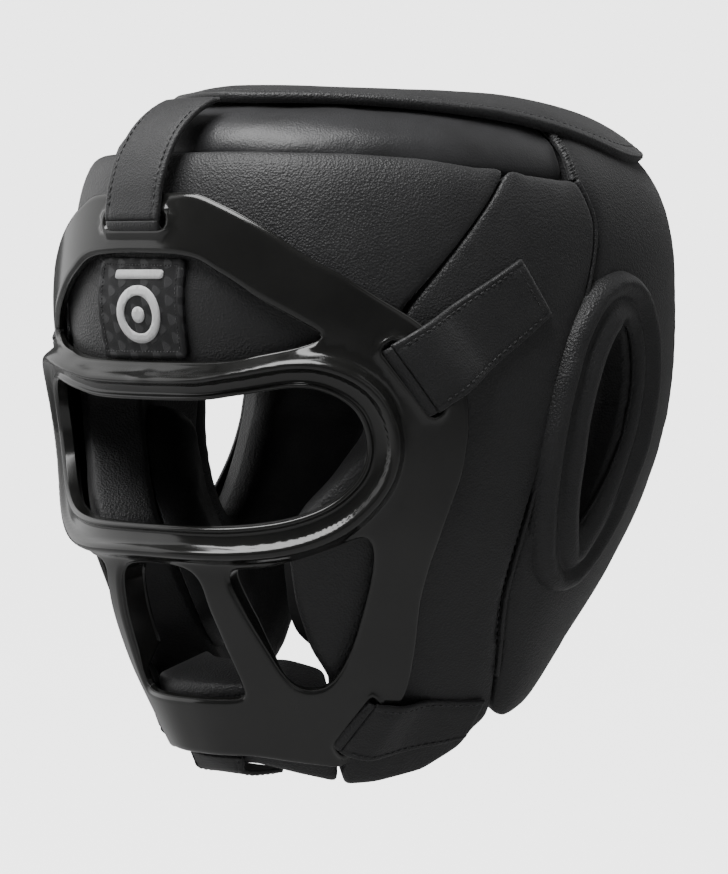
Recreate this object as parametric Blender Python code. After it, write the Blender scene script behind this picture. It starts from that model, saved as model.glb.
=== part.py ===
"""Boxing headgear with a strapped-on face grill: padded leather guard, moulded grill, straps and closures."""

import math

import bpy
import numpy as np
from mathutils import Vector
from mathutils.geometry import delaunay_2d_cdt

# Everything below is in millimetres. +Z is up, the face looks along -Y, the wearer's left is +X.
MM = 0.001
GAP = 0.4  # air between pieces that lie on each other
CORE_GAP = 1.5  # air round a foam core
COVER = 3.0  # leather cover with its scrim
PAD = 24.0  # full thickness of a cushion
LINING = 2.0
GRILL_LIFT = 7.0  # grill's outer face above the cushions
BAR_DEEP = 8.0  # how much deeper the bars beside the middle window are
GRILL_WALL = 4.0
STRAP = 2.4  # strap thickness
STRAP_WIDE = 25.4
DOME_Z = 55.0
DOME_H = 82.5

# Outer face of the cushions: half width, front reach, rear reach and roundness at each height.
HALF_WIDTH = [(-145, 62), (-120, 70), (-90, 83.5), (-60, 95), (-30, 104), (0, 109), (30, 111), (60, 111)]
FRONT = [
    (-145, 72), (-120, 89), (-90, 102), (-60, 113.5), (-30, 116.5), (0, 115), (30, 116), (58, 126.5), (90, 124),
]
REAR = [
    (-145, 39), (-90, 60), (-69, 87), (-54, 106), (-38, 119), (-20, 128.5), (0, 133.5), (40, 137), (60, 137),
]
FRONT_ROUND = [
    (-145, 1.43), (-120, 1.4), (-90, 1.54), (-60, 1.61), (-30, 1.86), (0, 1.98), (30, 2.08), (60, 1.87),
    (90, 1.82),
]
NOSE = 0.1  # how blunt the middle of the front is
REAR_ROUND = [(-90, 2.0), (-40, 2.0), (20, 2.3)]


def table(rows, z):
    rows = np.array(rows, float)
    return np.interp(z, rows[:, 0], rows[:, 1])


def dome(z, power):
    """Share of the full width that is left at height z above the brow."""
    t = np.clip((z - DOME_Z) / DOME_H, 0.0, 0.99999)
    return (1.0 - t**power) ** (1.0 / power)


def reach(turn, z):
    """Distance from the upright axis to the cushions' outer face; turn is in degrees from the front."""
    t = np.radians(turn)
    across = np.abs(np.sin(t))
    along = np.cos(t)
    blunt = (np.sqrt(across**2 + NOSE**2) - NOSE) / (math.sqrt(1 + NOSE**2) - NOSE)
    across = np.where(along > 0, blunt, across)
    wide = table(HALF_WIDTH, z) * dome(z, 3.4)
    front = table(FRONT, z) * dome(z, 4.4)
    rear = table(REAR, z) * dome(z, 2.8)
    deep = np.where(along > 0, front, rear)
    power = np.where(along > 0, table(FRONT_ROUND, z), table(REAR_ROUND, z))
    return ((across / wide) ** power + (np.abs(along) / deep) ** power) ** (-1.0 / power)


def side_shell(turn, z):
    r = reach(turn, z)
    t = np.radians(turn)
    return np.stack([r * np.sin(t), -r * np.cos(t), z + 0.0 * r], -1)


def side_map(points):
    """Points (arc, z) to places and outward normals on the shell; arc is two per degree of turn."""
    turn = points[:, 0] / 2.0
    z = points[:, 1]
    place = side_shell(turn, z)
    round_about = side_shell(turn + 0.5, z) - side_shell(turn - 0.5, z)
    upward = side_shell(turn, z + 0.5) - side_shell(turn, z - 0.5)
    normal = np.cross(round_about, upward)
    return place, normal / np.linalg.norm(normal, axis=1)[:, None]


def top_height(x, y):
    turn = np.degrees(np.arctan2(x, -y))
    far = np.hypot(x, y)
    low = np.full(len(x), DOME_Z)
    high = np.full(len(x), DOME_Z + DOME_H * 0.9999)
    for _ in range(34):
        middle = (low + high) / 2.0
        outside = reach(turn, middle) > far
        low = np.where(outside, middle, low)
        high = np.where(outside, high, middle)
    return low


def top_map(points):
    """Points (x, y) seen from above to places and outward normals on the crown."""
    x = points[:, 0]
    y = points[:, 1]
    place = np.stack([x, y, top_height(x, y)], -1)
    sideways = np.stack([x * 0 + 4.0, y * 0, top_height(x + 2, y) - top_height(x - 2, y)], -1)
    back = np.stack([x * 0, y * 0 + 4.0, top_height(x, y + 2) - top_height(x, y - 2)], -1)
    normal = np.cross(sideways, back)
    return place, normal / np.linalg.norm(normal, axis=1)[:, None]


def smooth_loop(corners, step):
    """A closed rounded curve through the corners, with points about one step apart."""
    pts = np.array(corners, float)
    n = len(pts)
    out = []
    for i in range(n):
        a, b, c, d = (pts[(i + k) % n] for k in (-1, 0, 1, 2))
        parts = max(1, int(round(np.linalg.norm(c - b) / step)))
        for k in range(parts):
            t = k / parts
            out.append(
                0.5 * (2 * b + (c - a) * t + (2 * a - 5 * b + 4 * c - d) * t**2 + (3 * b - a - 3 * c + d) * t**3)
            )
    return np.array(out)


def straight_loop(corners, step):
    pts = np.array(corners, float)
    out = []
    for a, b in zip(pts, np.roll(pts, -1, axis=0)):
        parts = max(1, int(round(np.linalg.norm(b - a) / step)))
        out += [a + (b - a) * k / parts for k in range(parts)]
    return np.array(out)


def arcs(corners):
    """Corners given as (turn in degrees, z) to (arc, z)."""
    return [(2.0 * turn, z) for turn, z in corners]


def both_sides(half):
    """A symmetric outline from its wearer's-left half, which starts and ends near the middle."""
    return list(half) + [(-turn, z) for turn, z in reversed(half)]


def inset(loop, by):
    """The loop moved inward by a distance, or outward by a negative one."""
    ahead = np.roll(loop, -1, axis=0) - np.roll(loop, 1, axis=0)
    area = np.sum(loop[:, 0] * np.roll(loop[:, 1], -1) - np.roll(loop[:, 0], -1) * loop[:, 1])
    ahead /= np.linalg.norm(ahead, axis=1)[:, None]
    left = np.stack([-ahead[:, 1], ahead[:, 0]], -1)
    return loop + left * by * (1 if area > 0 else -1)


def distance_to(points, loop):
    a = loop[None, :, :]
    ab = np.roll(loop, -1, axis=0)[None, :, :] - a
    ap = points[:, None, :] - a
    t = np.clip((ap * ab).sum(-1) / (ab * ab).sum(-1), 0, 1)
    return np.sqrt(((ap - ab * t[..., None]) ** 2).sum(-1).min(1))


def inside(points, loop):
    x, y = points[:, 0], points[:, 1]
    odd = np.zeros(len(points), bool)
    for a, b in zip(loop, np.roll(loop, -1, axis=0)):
        if a[1] == b[1]:
            continue
        crosses = (a[1] > y) != (b[1] > y)
        odd ^= crosses & (x < (b[0] - a[0]) * (y - a[1]) / (b[1] - a[1]) + a[0])
    return odd


def fill(loops, extra, spacing):
    """Triangles over the first loop, with the other loops left open."""
    outer = loops[0]
    low, high = outer.min(0), outer.max(0)
    xs = np.arange(low[0] + spacing / 2, high[0], spacing)
    ys = np.arange(low[1] + spacing / 2, high[1], spacing)
    grid = np.array([(x + (j % 2) * spacing / 2, y) for j, y in enumerate(ys) for x in xs])
    grid = grid.reshape(-1, 2)
    keep = inside(grid, outer) & (distance_to(grid, outer) > 0.55 * spacing)
    for hole in loops[1:]:
        keep &= ~inside(grid, hole) & (distance_to(grid, hole) > 0.55 * spacing)
    for ring in extra:
        keep &= distance_to(grid, ring) > 0.5 * spacing
    rings = [ring for ring in extra]
    points = np.concatenate(list(loops) + rings + [grid[keep]])
    edges = []
    start = 0
    for loop in loops:
        n = len(loop)
        edges += [(start + i, start + (i + 1) % n) for i in range(n)]
        start += n
    found = delaunay_2d_cdt([Vector(p) for p in points], edges, [], 1, 1e-4)
    flat = np.array([tuple(v) for v in found[0]])
    tris = np.array([tuple(f) for f in found[2]])
    middles = flat[tris].mean(1)
    keep = inside(middles, outer)
    for hole in loops[1:]:
        keep &= ~inside(middles, hole)
    return flat, [tuple(int(i) for i in f) for f in tris[keep]]


def signed_volume(verts, faces):
    total = 0.0
    for face in faces:
        a = verts[face[0]]
        for k in range(1, len(face) - 1):
            total += np.dot(a, np.cross(verts[face[k]], verts[face[k + 1]]))
    return total


def make_object(name, verts, faces, origin, material, smooth=False):
    data = bpy.data.meshes.new(name)
    verts = (np.array(verts, float) - np.array(origin, float)) * MM
    if signed_volume(verts, faces) < 0:
        faces = [tuple(reversed(f)) for f in faces]
    data.from_pydata([tuple(v) for v in verts], [], [tuple(f) for f in faces])
    data.validate()
    data.update()
    obj = bpy.data.objects.new(name, data)
    bpy.context.scene.collection.objects.link(obj)
    obj.location = Vector(origin) * MM
    data.materials.append(material)
    for polygon in data.polygons:
        polygon.use_smooth = smooth
    return obj


def mirror(verts, faces):
    return np.array(verts) * np.array([-1.0, 1.0, 1.0]), [tuple(reversed(f)) for f in faces]


def plate(shell, loops, outer, inner, spacing, extra=(), edge_round=0.0, edge_drop=0.0):
    """A closed piece between two heights above the shell; outer may be a function of the flat points."""
    flat, tris = fill(loops, list(extra), spacing)
    place, normal = shell(flat)
    top = outer(flat) if callable(outer) else np.full(len(flat), float(outer))
    under = inner(flat) if callable(inner) else np.full(len(flat), float(inner))
    if edge_round > 0:
        away = np.min([distance_to(flat, loop) for loop in loops], axis=0)
        t = np.clip(1.0 - away / edge_round, 0, 1)
        top = top - edge_drop * (1.0 - np.sqrt(1.0 - np.minimum(t, 0.999) ** 2))
    n = len(flat)
    verts = np.concatenate([place + normal * top[:, None], place + normal * under[:, None]])
    faces = [(a, b, c) for a, b, c in tris] + [(n + c, n + b, n + a) for a, b, c in tris]
    sides = {}
    for a, b, c in tris:
        for edge in ((a, b), (b, c), (c, a)):
            sides[edge] = True
    for a, b in list(sides):
        if (b, a) not in sides:
            faces.append((b, a, n + a, n + b))
    return verts, faces


def put(name, shape, material, origin=(0, 0, 0), smooth=False):
    return make_object(name, shape[0], shape[1], origin, material, smooth)


def put_pair(name, shape, material, origin=(0, 0, 0), smooth=False):
    put(name + "_L", shape, material, origin, smooth)
    other = (-origin[0], origin[1], origin[2])
    put(name + "_R", mirror(*shape), material, other, smooth)


def cushion(shell, corners, spacing, step, rounding=7.0, holes=(), lift=0.0, thick=PAD):
    """Cover, foam core and lining of one cushion, stacked from the outside in."""
    loop = straight_loop(corners, step)
    cover = plate(shell, [loop] + list(holes), lift, lift - COVER, spacing, (), rounding, 1.8)
    core_loop = inset(loop, 1.5)
    core_holes = [inset(hole, -1.5) for hole in holes]
    core_top = lift - COVER - CORE_GAP
    core = plate(shell, [core_loop] + core_holes, core_top, lift - thick + LINING + CORE_GAP, spacing)
    lining = plate(shell, [loop] + list(holes), lift - thick + LINING, lift - thick, spacing)
    return cover, core, lining


def tube(path, radii, sides, closed=True):
    """A round bar along a path; radii is (across, outward) and the outward way is given with each point."""
    n = len(path)
    verts = []
    for i, (place, out) in enumerate(path):
        ahead = np.array(path[(i + 1) % n][0]) - np.array(path[i - 1][0])
        if not closed and i == 0:
            ahead = np.array(path[1][0]) - np.array(path[0][0])
        if not closed and i == n - 1:
            ahead = np.array(path[-1][0]) - np.array(path[-2][0])
        ahead /= np.linalg.norm(ahead)
        out = np.array(out, float)
        out -= ahead * out.dot(ahead)
        out /= np.linalg.norm(out)
        side = np.cross(ahead, out)
        for k in range(sides):
            turn = 2 * math.pi * k / sides
            verts.append(np.array(place) + side * radii[0] * math.cos(turn) + out * radii[1] * math.sin(turn))
    faces = []
    for i in range(n if closed else n - 1):
        j = (i + 1) % n
        for k in range(sides):
            m = (k + 1) % sides
            faces.append((i * sides + k, i * sides + m, j * sides + m, j * sides + k))
    if not closed:
        faces.append(tuple(reversed(range(sides))))
        faces.append(tuple(range((n - 1) * sides, n * sides)))
    return np.array(verts), faces


def band(rows, thick):
    """A strap on the shell. Rows hold its two edges and height: (turn, z, turn, z, height of the under face)."""
    verts = []
    for turn_a, z_a, turn_b, z_b, height in rows:
        flat = np.array([(2 * turn_a, z_a), (turn_a + turn_b, (z_a + z_b) / 2), (2 * turn_b, z_b)])
        place, normal = side_map(flat)
        verts += list(place + normal * height)
        verts += list(place + normal * (height + thick))
    return np.array(verts), band_faces(len(rows))


def band_faces(count):
    faces = []
    for i in range(count - 1):
        a, b = 6 * i, 6 * i + 6
        for k in (0, 1):
            faces.append((a + k, b + k, b + k + 1, a + k + 1))
            faces.append((a + 3 + k, a + 4 + k, b + 4 + k, b + 3 + k))
        faces.append((a, a + 3, b + 3, b))
        faces.append((a + 2, b + 2, b + 5, a + 5))
    last = 6 * count - 6
    faces.append((0, 1, 4, 3))
    faces.append((1, 2, 5, 4))
    faces.append((last, last + 3, last + 4, last + 1))
    faces.append((last + 1, last + 4, last + 5, last + 2))
    return faces


def band_hinge(shape):
    """The middle of a strap's first edge, where it turns."""
    return tuple(float(v) for v in shape[0][[0, 2, 3, 5]].mean(0))


def leather(name, shade, rough):
    material = bpy.data.materials.new(name)
    material.use_nodes = True
    shader = material.node_tree.nodes["Principled BSDF"]
    shader.inputs["Base Color"].default_value = (shade, shade, shade, 1)
    shader.inputs["Roughness"].default_value = rough
    return material


# Outlines, as (turn in degrees from the front, z). Turn is positive towards the wearer's left.
BROW = [(0, 27), (44, 27), (49, 55), (60.2, 79), (72.9, 108), (55, 113), (39, 115), (20, 116), (0, 116)]
SIDE = [
    (45.5, 27), (50.5, 54.5), (74.5, 108), (93.5, 104), (96, 88), (95, 75), (92.2, 58), (89.5, 42),
    (84.6, 18), (81.3, -3), (78.2, -30), (76.9, -52.5), (77.5, -66.6), (80.6, -92), (83, -108), (76.6, -121),
    (63.8, -129.5), (46, -134), (34.6, -134.8), (34.2, -98.5), (32.1, -88.4), (28.9, -78.3), (27, -59.4),
    (26.5, -35.5), (29.6, -23.7), (36.1, -11.9), (43, 2), (45.5, 14),
]
EAR = [
    (96, 104), (98.4, 88), (97.4, 75), (94.6, 58), (91.9, 42), (86.9, 18), (83.6, -3), (80.6, -30),
    (79.3, -52.4), (80, -66.6), (83.2, -92), (85.1, -107), (90.7, -110), (99, -105), (106, -97), (111.5, -87),
    (118, -70), (124, -54), (130, -38), (135, -21), (137, -6), (138, 50), (136, 101),
]
REAR_HALF = [
    (138.6, 2), (150, -8), (163, -14), (175, -16), (175, 40), (175, 101), (160, 101), (138.6, 101), (140.4, 50),
]
CHIN = [(0, -125.6), (11, -126.4), (22, -130.5), (33.8, -134), (33.6, -98.5), (22.7, -93), (0, -91)]
CHEEK = [(36, -70), (34, -42), (42, -18), (53, 8), (68, 6), (68, -30), (61, -70), (48, -84)]
EAR_RING_TOP = (106.5, 58.0)
EAR_RING_LOW = (92.8, -48.0)
EAR_RING_WIDE = 26.0

GRILL_EDGE = [
    (0, 99), (12.4, 97.5), (19.2, 91), (26.1, 82.8), (31, 74.8), (37.9, 66.9), (43.9, 58.9), (51.9, 49), (57, 38),
    (61.6, 22), (62.2, 8), (61.3, -8), (58.2, -25), (55.7, -40), (54.1, -55), (54, -72.4), (53.3, -88.5),
    (50.4, -101.4), (41.6, -113.1), (34.4, -123.4), (23.7, -121), (13, -118), (0, -116.5),
]
BROW_WINDOW = [
    (0, 75.5), (9.7, 74.5), (17.5, 67.6), (24.2, 58.5), (31, 50.2), (34.4, 44.7), (31, 41.3), (24.2, 38.4),
    (14.6, 35.5), (0, 33.5),
]
VISOR = [
    (0, 19), (10.9, 20.1), (20.4, 22.8), (30, 26.1), (35.8, 23.8), (40.3, 16.9), (42.2, 6), (41.6, -4),
    (39, -12), (34.5, -19.1), (27.9, -24.2), (19.2, -27.3), (9, -28.5), (0, -28.5),
]
CHIN_WINDOW = [(0, -45), (8, -45), (11.2, -59.5), (13, -75.9), (14.3, -90), (12.3, -95), (0, -97)]
JAW_WINDOW = [
    (15.8, -45), (17.2, -57.3), (20.6, -74), (23.8, -86.5), (27.7, -91), (33.5, -88.5), (38.4, -76), (42, -55.9),
    (43.6, -40), (42.5, -30.5), (37, -33.5), (30, -38.5), (22.8, -42.6),
]
RIM_WIDE = 13.0
RIM_RISE = 5.5


def ring_centre_line(count):
    """Places along the ear ring's oval, in (arc, z), from its top round towards the rear."""
    top = np.array([2.0 * EAR_RING_TOP[0], EAR_RING_TOP[1]])
    low = np.array([2.0 * EAR_RING_LOW[0], EAR_RING_LOW[1]])
    middle = (top + low) / 2.0
    half = (top - low) / 2.0
    across = np.array([half[1], -half[0]])
    across *= EAR_RING_WIDE / np.linalg.norm(across)
    out = []
    for i in range(count):
        t = 2 * math.pi * i / count
        out.append(middle + half * math.cos(t) + across * math.sin(t) * (1.0 + 0.12 * math.cos(t)))
    return np.array(out)


def build_cushions(cover, foam, lining):
    shapes = cushion(side_map, arcs(both_sides(BROW[1:-1])), 17.0, 14.0)
    put("forehead_cover", shapes[0], cover)
    put("forehead_foam", shapes[1], foam)
    put("forehead_lining", shapes[2], lining)
    shapes = cushion(side_map, arcs(SIDE), 18.0, 16.0)
    put_pair("side_cover", shapes[0], cover)
    put_pair("side_foam", shapes[1], foam)
    put_pair("side_lining", shapes[2], lining)
    hole = inset(ring_centre_line(16), 9.0)[::-1]
    shapes = cushion(side_map, arcs(EAR), 18.0, 14.0, 6.0, [hole], 0.0, 22.0)
    put_pair("ear_cover", shapes[0], cover)
    put_pair("ear_foam", shapes[1], foam)
    put_pair("ear_lining", shapes[2], lining)
    shapes = cushion(side_map, arcs(REAR_HALF), 18.0, 14.0, 6.0, (), 0.0, 22.0)
    put_pair("rear_cover", shapes[0], cover)
    put_pair("rear_foam", shapes[1], foam)
    put_pair("rear_lining", shapes[2], lining)
    shapes = cushion(side_map, arcs(both_sides(CHIN[1:-1])), 16.0, 12.0)
    put("chin_cover", shapes[0], cover)
    put("chin_foam", shapes[1], foam)
    put("chin_lining", shapes[2], lining)


def build_crown(smooth_leather, cover, lining, foam):
    """The recessed bands round the crown and the cushion over it."""
    front_turns = np.linspace(94.3, -94.3, 17)
    front_inner = np.linspace(102.0, -102.0, 17)
    front = [crown_edge(t, 0.0) for t in front_turns] + [crown_edge(t, 1.0) for t in front_inner[::-1]]
    put("crown_band", plate(top_map, [np.array(front)], band_height, -8.0, 14.0), smooth_leather)
    rear = [crown_edge(t, 0.0) for t in np.linspace(179.8, 94.8, 8)]
    rear += [crown_edge(t, 1.0) for t in np.linspace(102.5, 179.8, 7)]
    put_pair("crown_rear", plate(top_map, [np.array(rear)], -3.0, -8.0, 14.0), cover)
    pad = np.array([crown_edge(180.0 - 360.0 * i / 28.0, 1.0) for i in range(28)])
    pad_loop = inset(pad, 0.6)
    put("top_cover", plate(top_map, [pad_loop], -2.4, -5.4, 16.0), cover)
    core_loop = inset(pad_loop, 1.5)
    put("top_foam", plate(top_map, [core_loop], -6.2 - CORE_GAP, -16.0, 20.0), foam)
    put("top_lining", plate(top_map, [pad_loop], -16.0 - CORE_GAP, -18.0 - CORE_GAP, 20.0), lining)


def crown_edge(turn, step):
    """A point (x, y) of the crown seen from above: step 0 is the cushions' top edge, step 1 the top cushion's."""
    z = float(np.interp(abs(turn), [0, 75, 95, 138, 180], [117.5, 110.5, 106, 103, 103]))
    r = float(reach(np.array(turn), np.array(z)))
    inner = float(reach(np.array(turn), np.array(134.0)))
    r = r + (inner - r) * step
    t = math.radians(turn)
    return (r * math.sin(t), -r * math.cos(t))


def crown_lift(flat):
    """How far the crown's front edge stands up where the strap pulls on it."""
    near = np.clip((116.0 + flat[:, 1]) / 20.0, 0, 1) * np.clip((-flat[:, 1] - 30.0) / 45.0, 0, 1)
    return 2.0 * near * np.exp(-((flat[:, 0] / 20.0) ** 2))


def band_height(flat):
    """The band comes up to meet the flap that lies over its inner edge."""
    rise = np.clip((top_height(flat[:, 0], flat[:, 1]) - 118.0) / 10.0, 0, 1)
    return -3.6 + 2.3 * rise + 0.6 * crown_lift(flat)


FLAP = [
    (-58, -50), (-34, -74), (-13.5, -88), (13.5, -88), (34, -74), (58, -50), (76, -24), (90, 10), (95, 46),
    (82, 76), (56, 98), (28, 106), (-28, 106), (-56, 98), (-82, 76), (-95, 46), (-90, 10), (-76, -24),
]


def build_flap(cover):
    """The closure flap: it turns up about its edge on the wearer's right."""
    loop = smooth_loop(FLAP, 16.0)
    shape = plate(top_map, [loop], flap_height, flap_floor, 16.0, (), 4.0, 1.0)
    put("top_flap", shape, cover, FLAP_HINGE)


def flap_height(flat):
    return 4.6 + crown_lift(flat)


def flap_floor(flat):
    return -0.6 + crown_lift(flat)


FLAP_HINGE = (-98.0, 0.0, 104.0)


def build_ear_rings(ring_leather):
    """A padded double ring round the ear opening."""
    flat = ring_centre_line(28)
    place, normal = side_map(flat)
    path = [(p + n * 4.8, n) for p, n in zip(place, normal)]
    put_pair("ear_ring", tube(path, (7.5, 3.8), 12), ring_leather, (0, 0, 0), True)
    inner = inset(flat, 12.2)
    place, normal = side_map(inner)
    path = [(p + n * -12.0, n) for p, n in zip(place, normal)]
    put_pair("ear_bore_trim", tube(path, (2.2, 8.0), 8), ring_leather, (0, 0, 0), True)


def build_cheeks(cover):
    """Cushions inside the guard that bear on the cheekbones."""
    loop = smooth_loop(arcs(CHEEK), 14.0)
    put_pair("cheek_pad", plate(side_map, [loop], -PAD - 1.8, -PAD - 14.0, 12.0, (), 0.0, 0.0), cover)


def rim_height(flat):
    """Outer height of the grill above the cushions: flat bars, with a thick rim round the visor."""
    visor = smooth_loop(arcs(both_sides(VISOR[1:-1])), 6.0)
    away = distance_to(flat, visor)
    rise = np.sqrt(np.clip(1.0 - ((away - RIM_WIDE / 2) / (RIM_WIDE / 2)) ** 2, 0, 1))
    rise = np.where(away > RIM_WIDE, 0.0, np.maximum(rise, np.where(away < RIM_WIDE / 2, 0.55, 0.0)))
    edge = np.clip((flat[:, 0] ** 2 / 4.0 - 52.0**2) / (62.0**2 - 52.0**2), 0, 1)
    return GRILL_LIFT - 2.0 * edge + RIM_RISE * rise


def build_grill(plastic):
    edge = straight_loop(arcs(both_sides(GRILL_EDGE[1:-1])), 9.0)
    brow = smooth_loop(arcs(both_sides(BROW_WINDOW[1:-1])), 9.0)
    visor = smooth_loop(arcs(both_sides(VISOR[1:-1])), 8.0)
    chin = smooth_loop(arcs(both_sides(CHIN_WINDOW[1:-1])), 9.0)
    jaw = smooth_loop(arcs(JAW_WINDOW), 9.0)
    other_jaw = jaw * np.array([-1.0, 1.0])
    slots = [straight_loop(arcs(FRONT_SLOT), 9.0)]
    for slot in (TEMPLE_SLOT, JAW_SLOT):
        loop = straight_loop(arcs(slot), 9.0)
        slots += [loop, loop * np.array([-1.0, 1.0])]
    rings = [inset(visor, -RIM_WIDE / 2), inset(visor, -RIM_WIDE)]
    loops = [edge, brow, visor, chin, jaw, other_jaw] + slots

    def under(flat):
        shallow = np.maximum(rim_height(flat) - GRILL_WALL - 1.6, GRILL_LIFT - GRILL_WALL - 2.0)
        middle = np.clip((24.0 - np.abs(flat[:, 0]) / 2.0) / 5.0, 0, 1)
        upright = np.clip((flat[:, 1] + 87.0) / 7.0, 0, 1) * np.clip((-32.0 - flat[:, 1]) / 7.0, 0, 1)
        return shallow - BAR_DEEP * middle * upright

    shape = plate(side_map, loops, rim_height, under, 11.0, rings)
    put("face_grill", shape, plastic, (0, 0, 0), True)


def slot_box(middle, towards, wide):
    """Corners of a slot in (turn, z), long way from middle - towards to middle + towards."""
    long = np.array([2.0 * towards[0], towards[1]])
    across = np.array([-long[1], long[0]]) * wide / 2.0 / np.linalg.norm(long)
    centre = np.array([2.0 * middle[0], middle[1]])
    out = [centre - long - across, centre + long - across, centre + long + across, centre - long + across]
    return [(x / 2.0, y) for x, y in out]


FRONT_SLOT = slot_box((0, 87.0), (6.8, 0), 5.0)
TEMPLE_SLOT = slot_box((50.5, 28.6), (4.7, -12.4), 5.0)
JAW_SLOT = slot_box((38.9, -104.9), (-5.1, -9.7), 5.0)
OVER = GRILL_LIFT + 0.9  # a strap's under face where it crosses the grill's bar
TEMPLE_ROWS = [
    (46.1, 41.3, 55.0, 16.3, OVER), (48.5, 44.0, 57.5, 19.9, OVER), (51.5, 47.6, 60.5, 23.7, OVER - 0.2),
    (54.4, 51.0, 63.3, 27.5, 5.4), (57.1, 54.2, 66.2, 31.2, 2.4), (60.6, 58.3, 69.8, 36.0, 1.2),
    (67.3, 65.8, 75.8, 44.0, 1.2), (73.9, 73.2, 81.5, 51.8, 1.2),
]
JAW_ROWS = [
    (44.1, -95.3, 33.7, -114.6, OVER), (47.1, -95.9, 36.8, -116.8, OVER), (51.3, -96.5, 41.8, -118.5, OVER),
    (55.2, -97.1, 47.1, -118.9, 5.4), (58.9, -97.6, 52.7, -118.8, 2.6), (64.2, -98.3, 59.2, -118.1, 1.2),
    (71.7, -99.2, 67.9, -116.6, 1.2), (79.0, -99.6, 75.8, -114.7, 1.2),
]
FRONT_ROWS = [
    (-6.3, 87.0, 6.3, 87.0, OVER), (-6.3, 93.5, 6.3, 93.5, OVER), (-6.3, 99.5, 6.3, 99.5, OVER),
    (-6.4, 105.5, 6.4, 105.5, 7.3), (-6.5, 112.0, 6.5, 112.0, 6.6), (-6.7, 118.5, 6.7, 118.5, 5.8),
    (-6.9, 123.5, 6.9, 123.5, 5.1), (-7.3, 127.5, 7.3, 127.5, 4.5), (-7.7, 130.3, 7.7, 130.3, 4.1),
]
REAR_ROWS = [
    (156, 20, 156, 58, 0.8), (164, 20, 164, 58, 1.0), (172, 20, 172, 58, 1.8), (180, 20, 180, 58, 2.8),
    (188, 20, 188, 58, 3.2), (196, 20, 196, 58, 3.2), (204, 20, 204, 58, 3.2),
]


def chin_band():
    """The strap that comes out from behind the grill's lower edge and turns back under the chin cushion."""
    rows = [(-8.6, -120.7, 8.6, -120.7, 0.7), (-8.7, -123.6, 8.7, -123.6, 0.8)]
    verts = list(band(rows, STRAP)[0])
    for y, z, lean in ((-84.6, -126.6, 1.6), (-78.0, -128.0, 0.4), (-70.0, -128.4, 0.0), (-62.0, -128.4, 0.0)):
        for out in (0.0, 1.0):
            place = (y - lean * out, z - STRAP * out)
            verts += [np.array((x * STRAP_WIDE / 2, *place)) for x in (-1, 0, 1)]
    return np.array(verts), band_faces(len(rows) + 4)


def build_straps(webbing):
    """Straps that run from the grill's slots to the guard, and the one under the chin."""
    for name, rows in (("front_strap", FRONT_ROWS), ("temple_strap", TEMPLE_ROWS), ("jaw_strap", JAW_ROWS)):
        shape = band(rows, STRAP)
        if name == "front_strap":
            put(name, shape, webbing, band_hinge(shape))
        else:
            put_pair(name, shape, webbing, band_hinge(shape))
    shape = chin_band()
    put("chin_strap", shape, webbing, band_hinge(shape))


def build_rear_closure(webbing, tape):
    """A strap sewn to one rear cushion that grips loop tape on the other, across the gap at the back."""
    loop = straight_loop(arcs([(150, 20), (174, 20), (174, 58), (150, 58)]), 16.0)
    shape = plate(side_map, [loop], 2.2, 1.0, 16.0)
    put("rear_loop_tape", mirror(*shape), tape)
    shape = band(REAR_ROWS, STRAP)
    put("rear_strap", shape, webbing, band_hinge(shape))


def build_trim(piping, patch, tape):
    seam = [
        (94.8, 101), (97.2, 88), (96.2, 75), (93.4, 58), (90.7, 42), (85.75, 18), (82.45, -3), (79.4, -30),
        (78.1, -52.5), (78.75, -66.6), (81.9, -91),
    ]
    flat = np.array(arcs(seam), float)
    place, normal = side_map(flat)
    path = [(p + n * -0.6, n) for p, n in zip(place, normal)]
    put_pair("seam_piping", tube(path, (1.0, 1.6), 6, False), piping, (0, 0, 0), True)
    loop = straight_loop(arcs([(-13.6, 36.8), (8.3, 37.2), (9.8, 72.2), (-10.2, 72.6)]), 12.0)
    put("forehead_label", plate(side_map, [loop], 2.6, 1.4, 16.0), patch)
    loop = straight_loop(arcs([(51, 43.5), (56, 50.5), (60, 46.5), (55, 39.5)]), 14.0)
    put_pair("temple_hook_tape", plate(side_map, [loop], 0.6, GAP - 0.1, 20.0), tape)


def main():
    for obj in list(bpy.data.objects):
        bpy.data.objects.remove(obj)
    cover = leather("guard_leather", 0.022, 0.5)
    smooth_leather = leather("crown_leather", 0.03, 0.38)
    foam = leather("foam", 0.55, 0.9)
    lining = leather("lining", 0.03, 0.85)
    plastic = leather("grill_plastic", 0.012, 0.12)
    webbing = leather("strap_leather", 0.024, 0.5)
    tape = leather("hook_tape", 0.35, 0.9)
    ring_leather = leather("ring_leather", 0.024, 0.42)
    piping = leather("piping", 0.02, 0.4)
    patch = leather("label_weave", 0.03, 0.7)
    build_cushions(cover, foam, lining)
    build_crown(smooth_leather, cover, lining, foam)
    build_flap(cover)
    build_ear_rings(ring_leather)
    build_cheeks(cover)
    build_grill(plastic)
    build_straps(webbing)
    build_rear_closure(webbing, tape)
    build_trim(piping, patch, tape)


main()
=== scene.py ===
"""Looks of the boxing headgear: swelled leather cushions, a moulded grill, stitched straps and a label."""

import math

import bpy
import numpy as np
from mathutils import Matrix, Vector, noise
from mathutils.geometry import delaunay_2d_cdt


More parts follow.
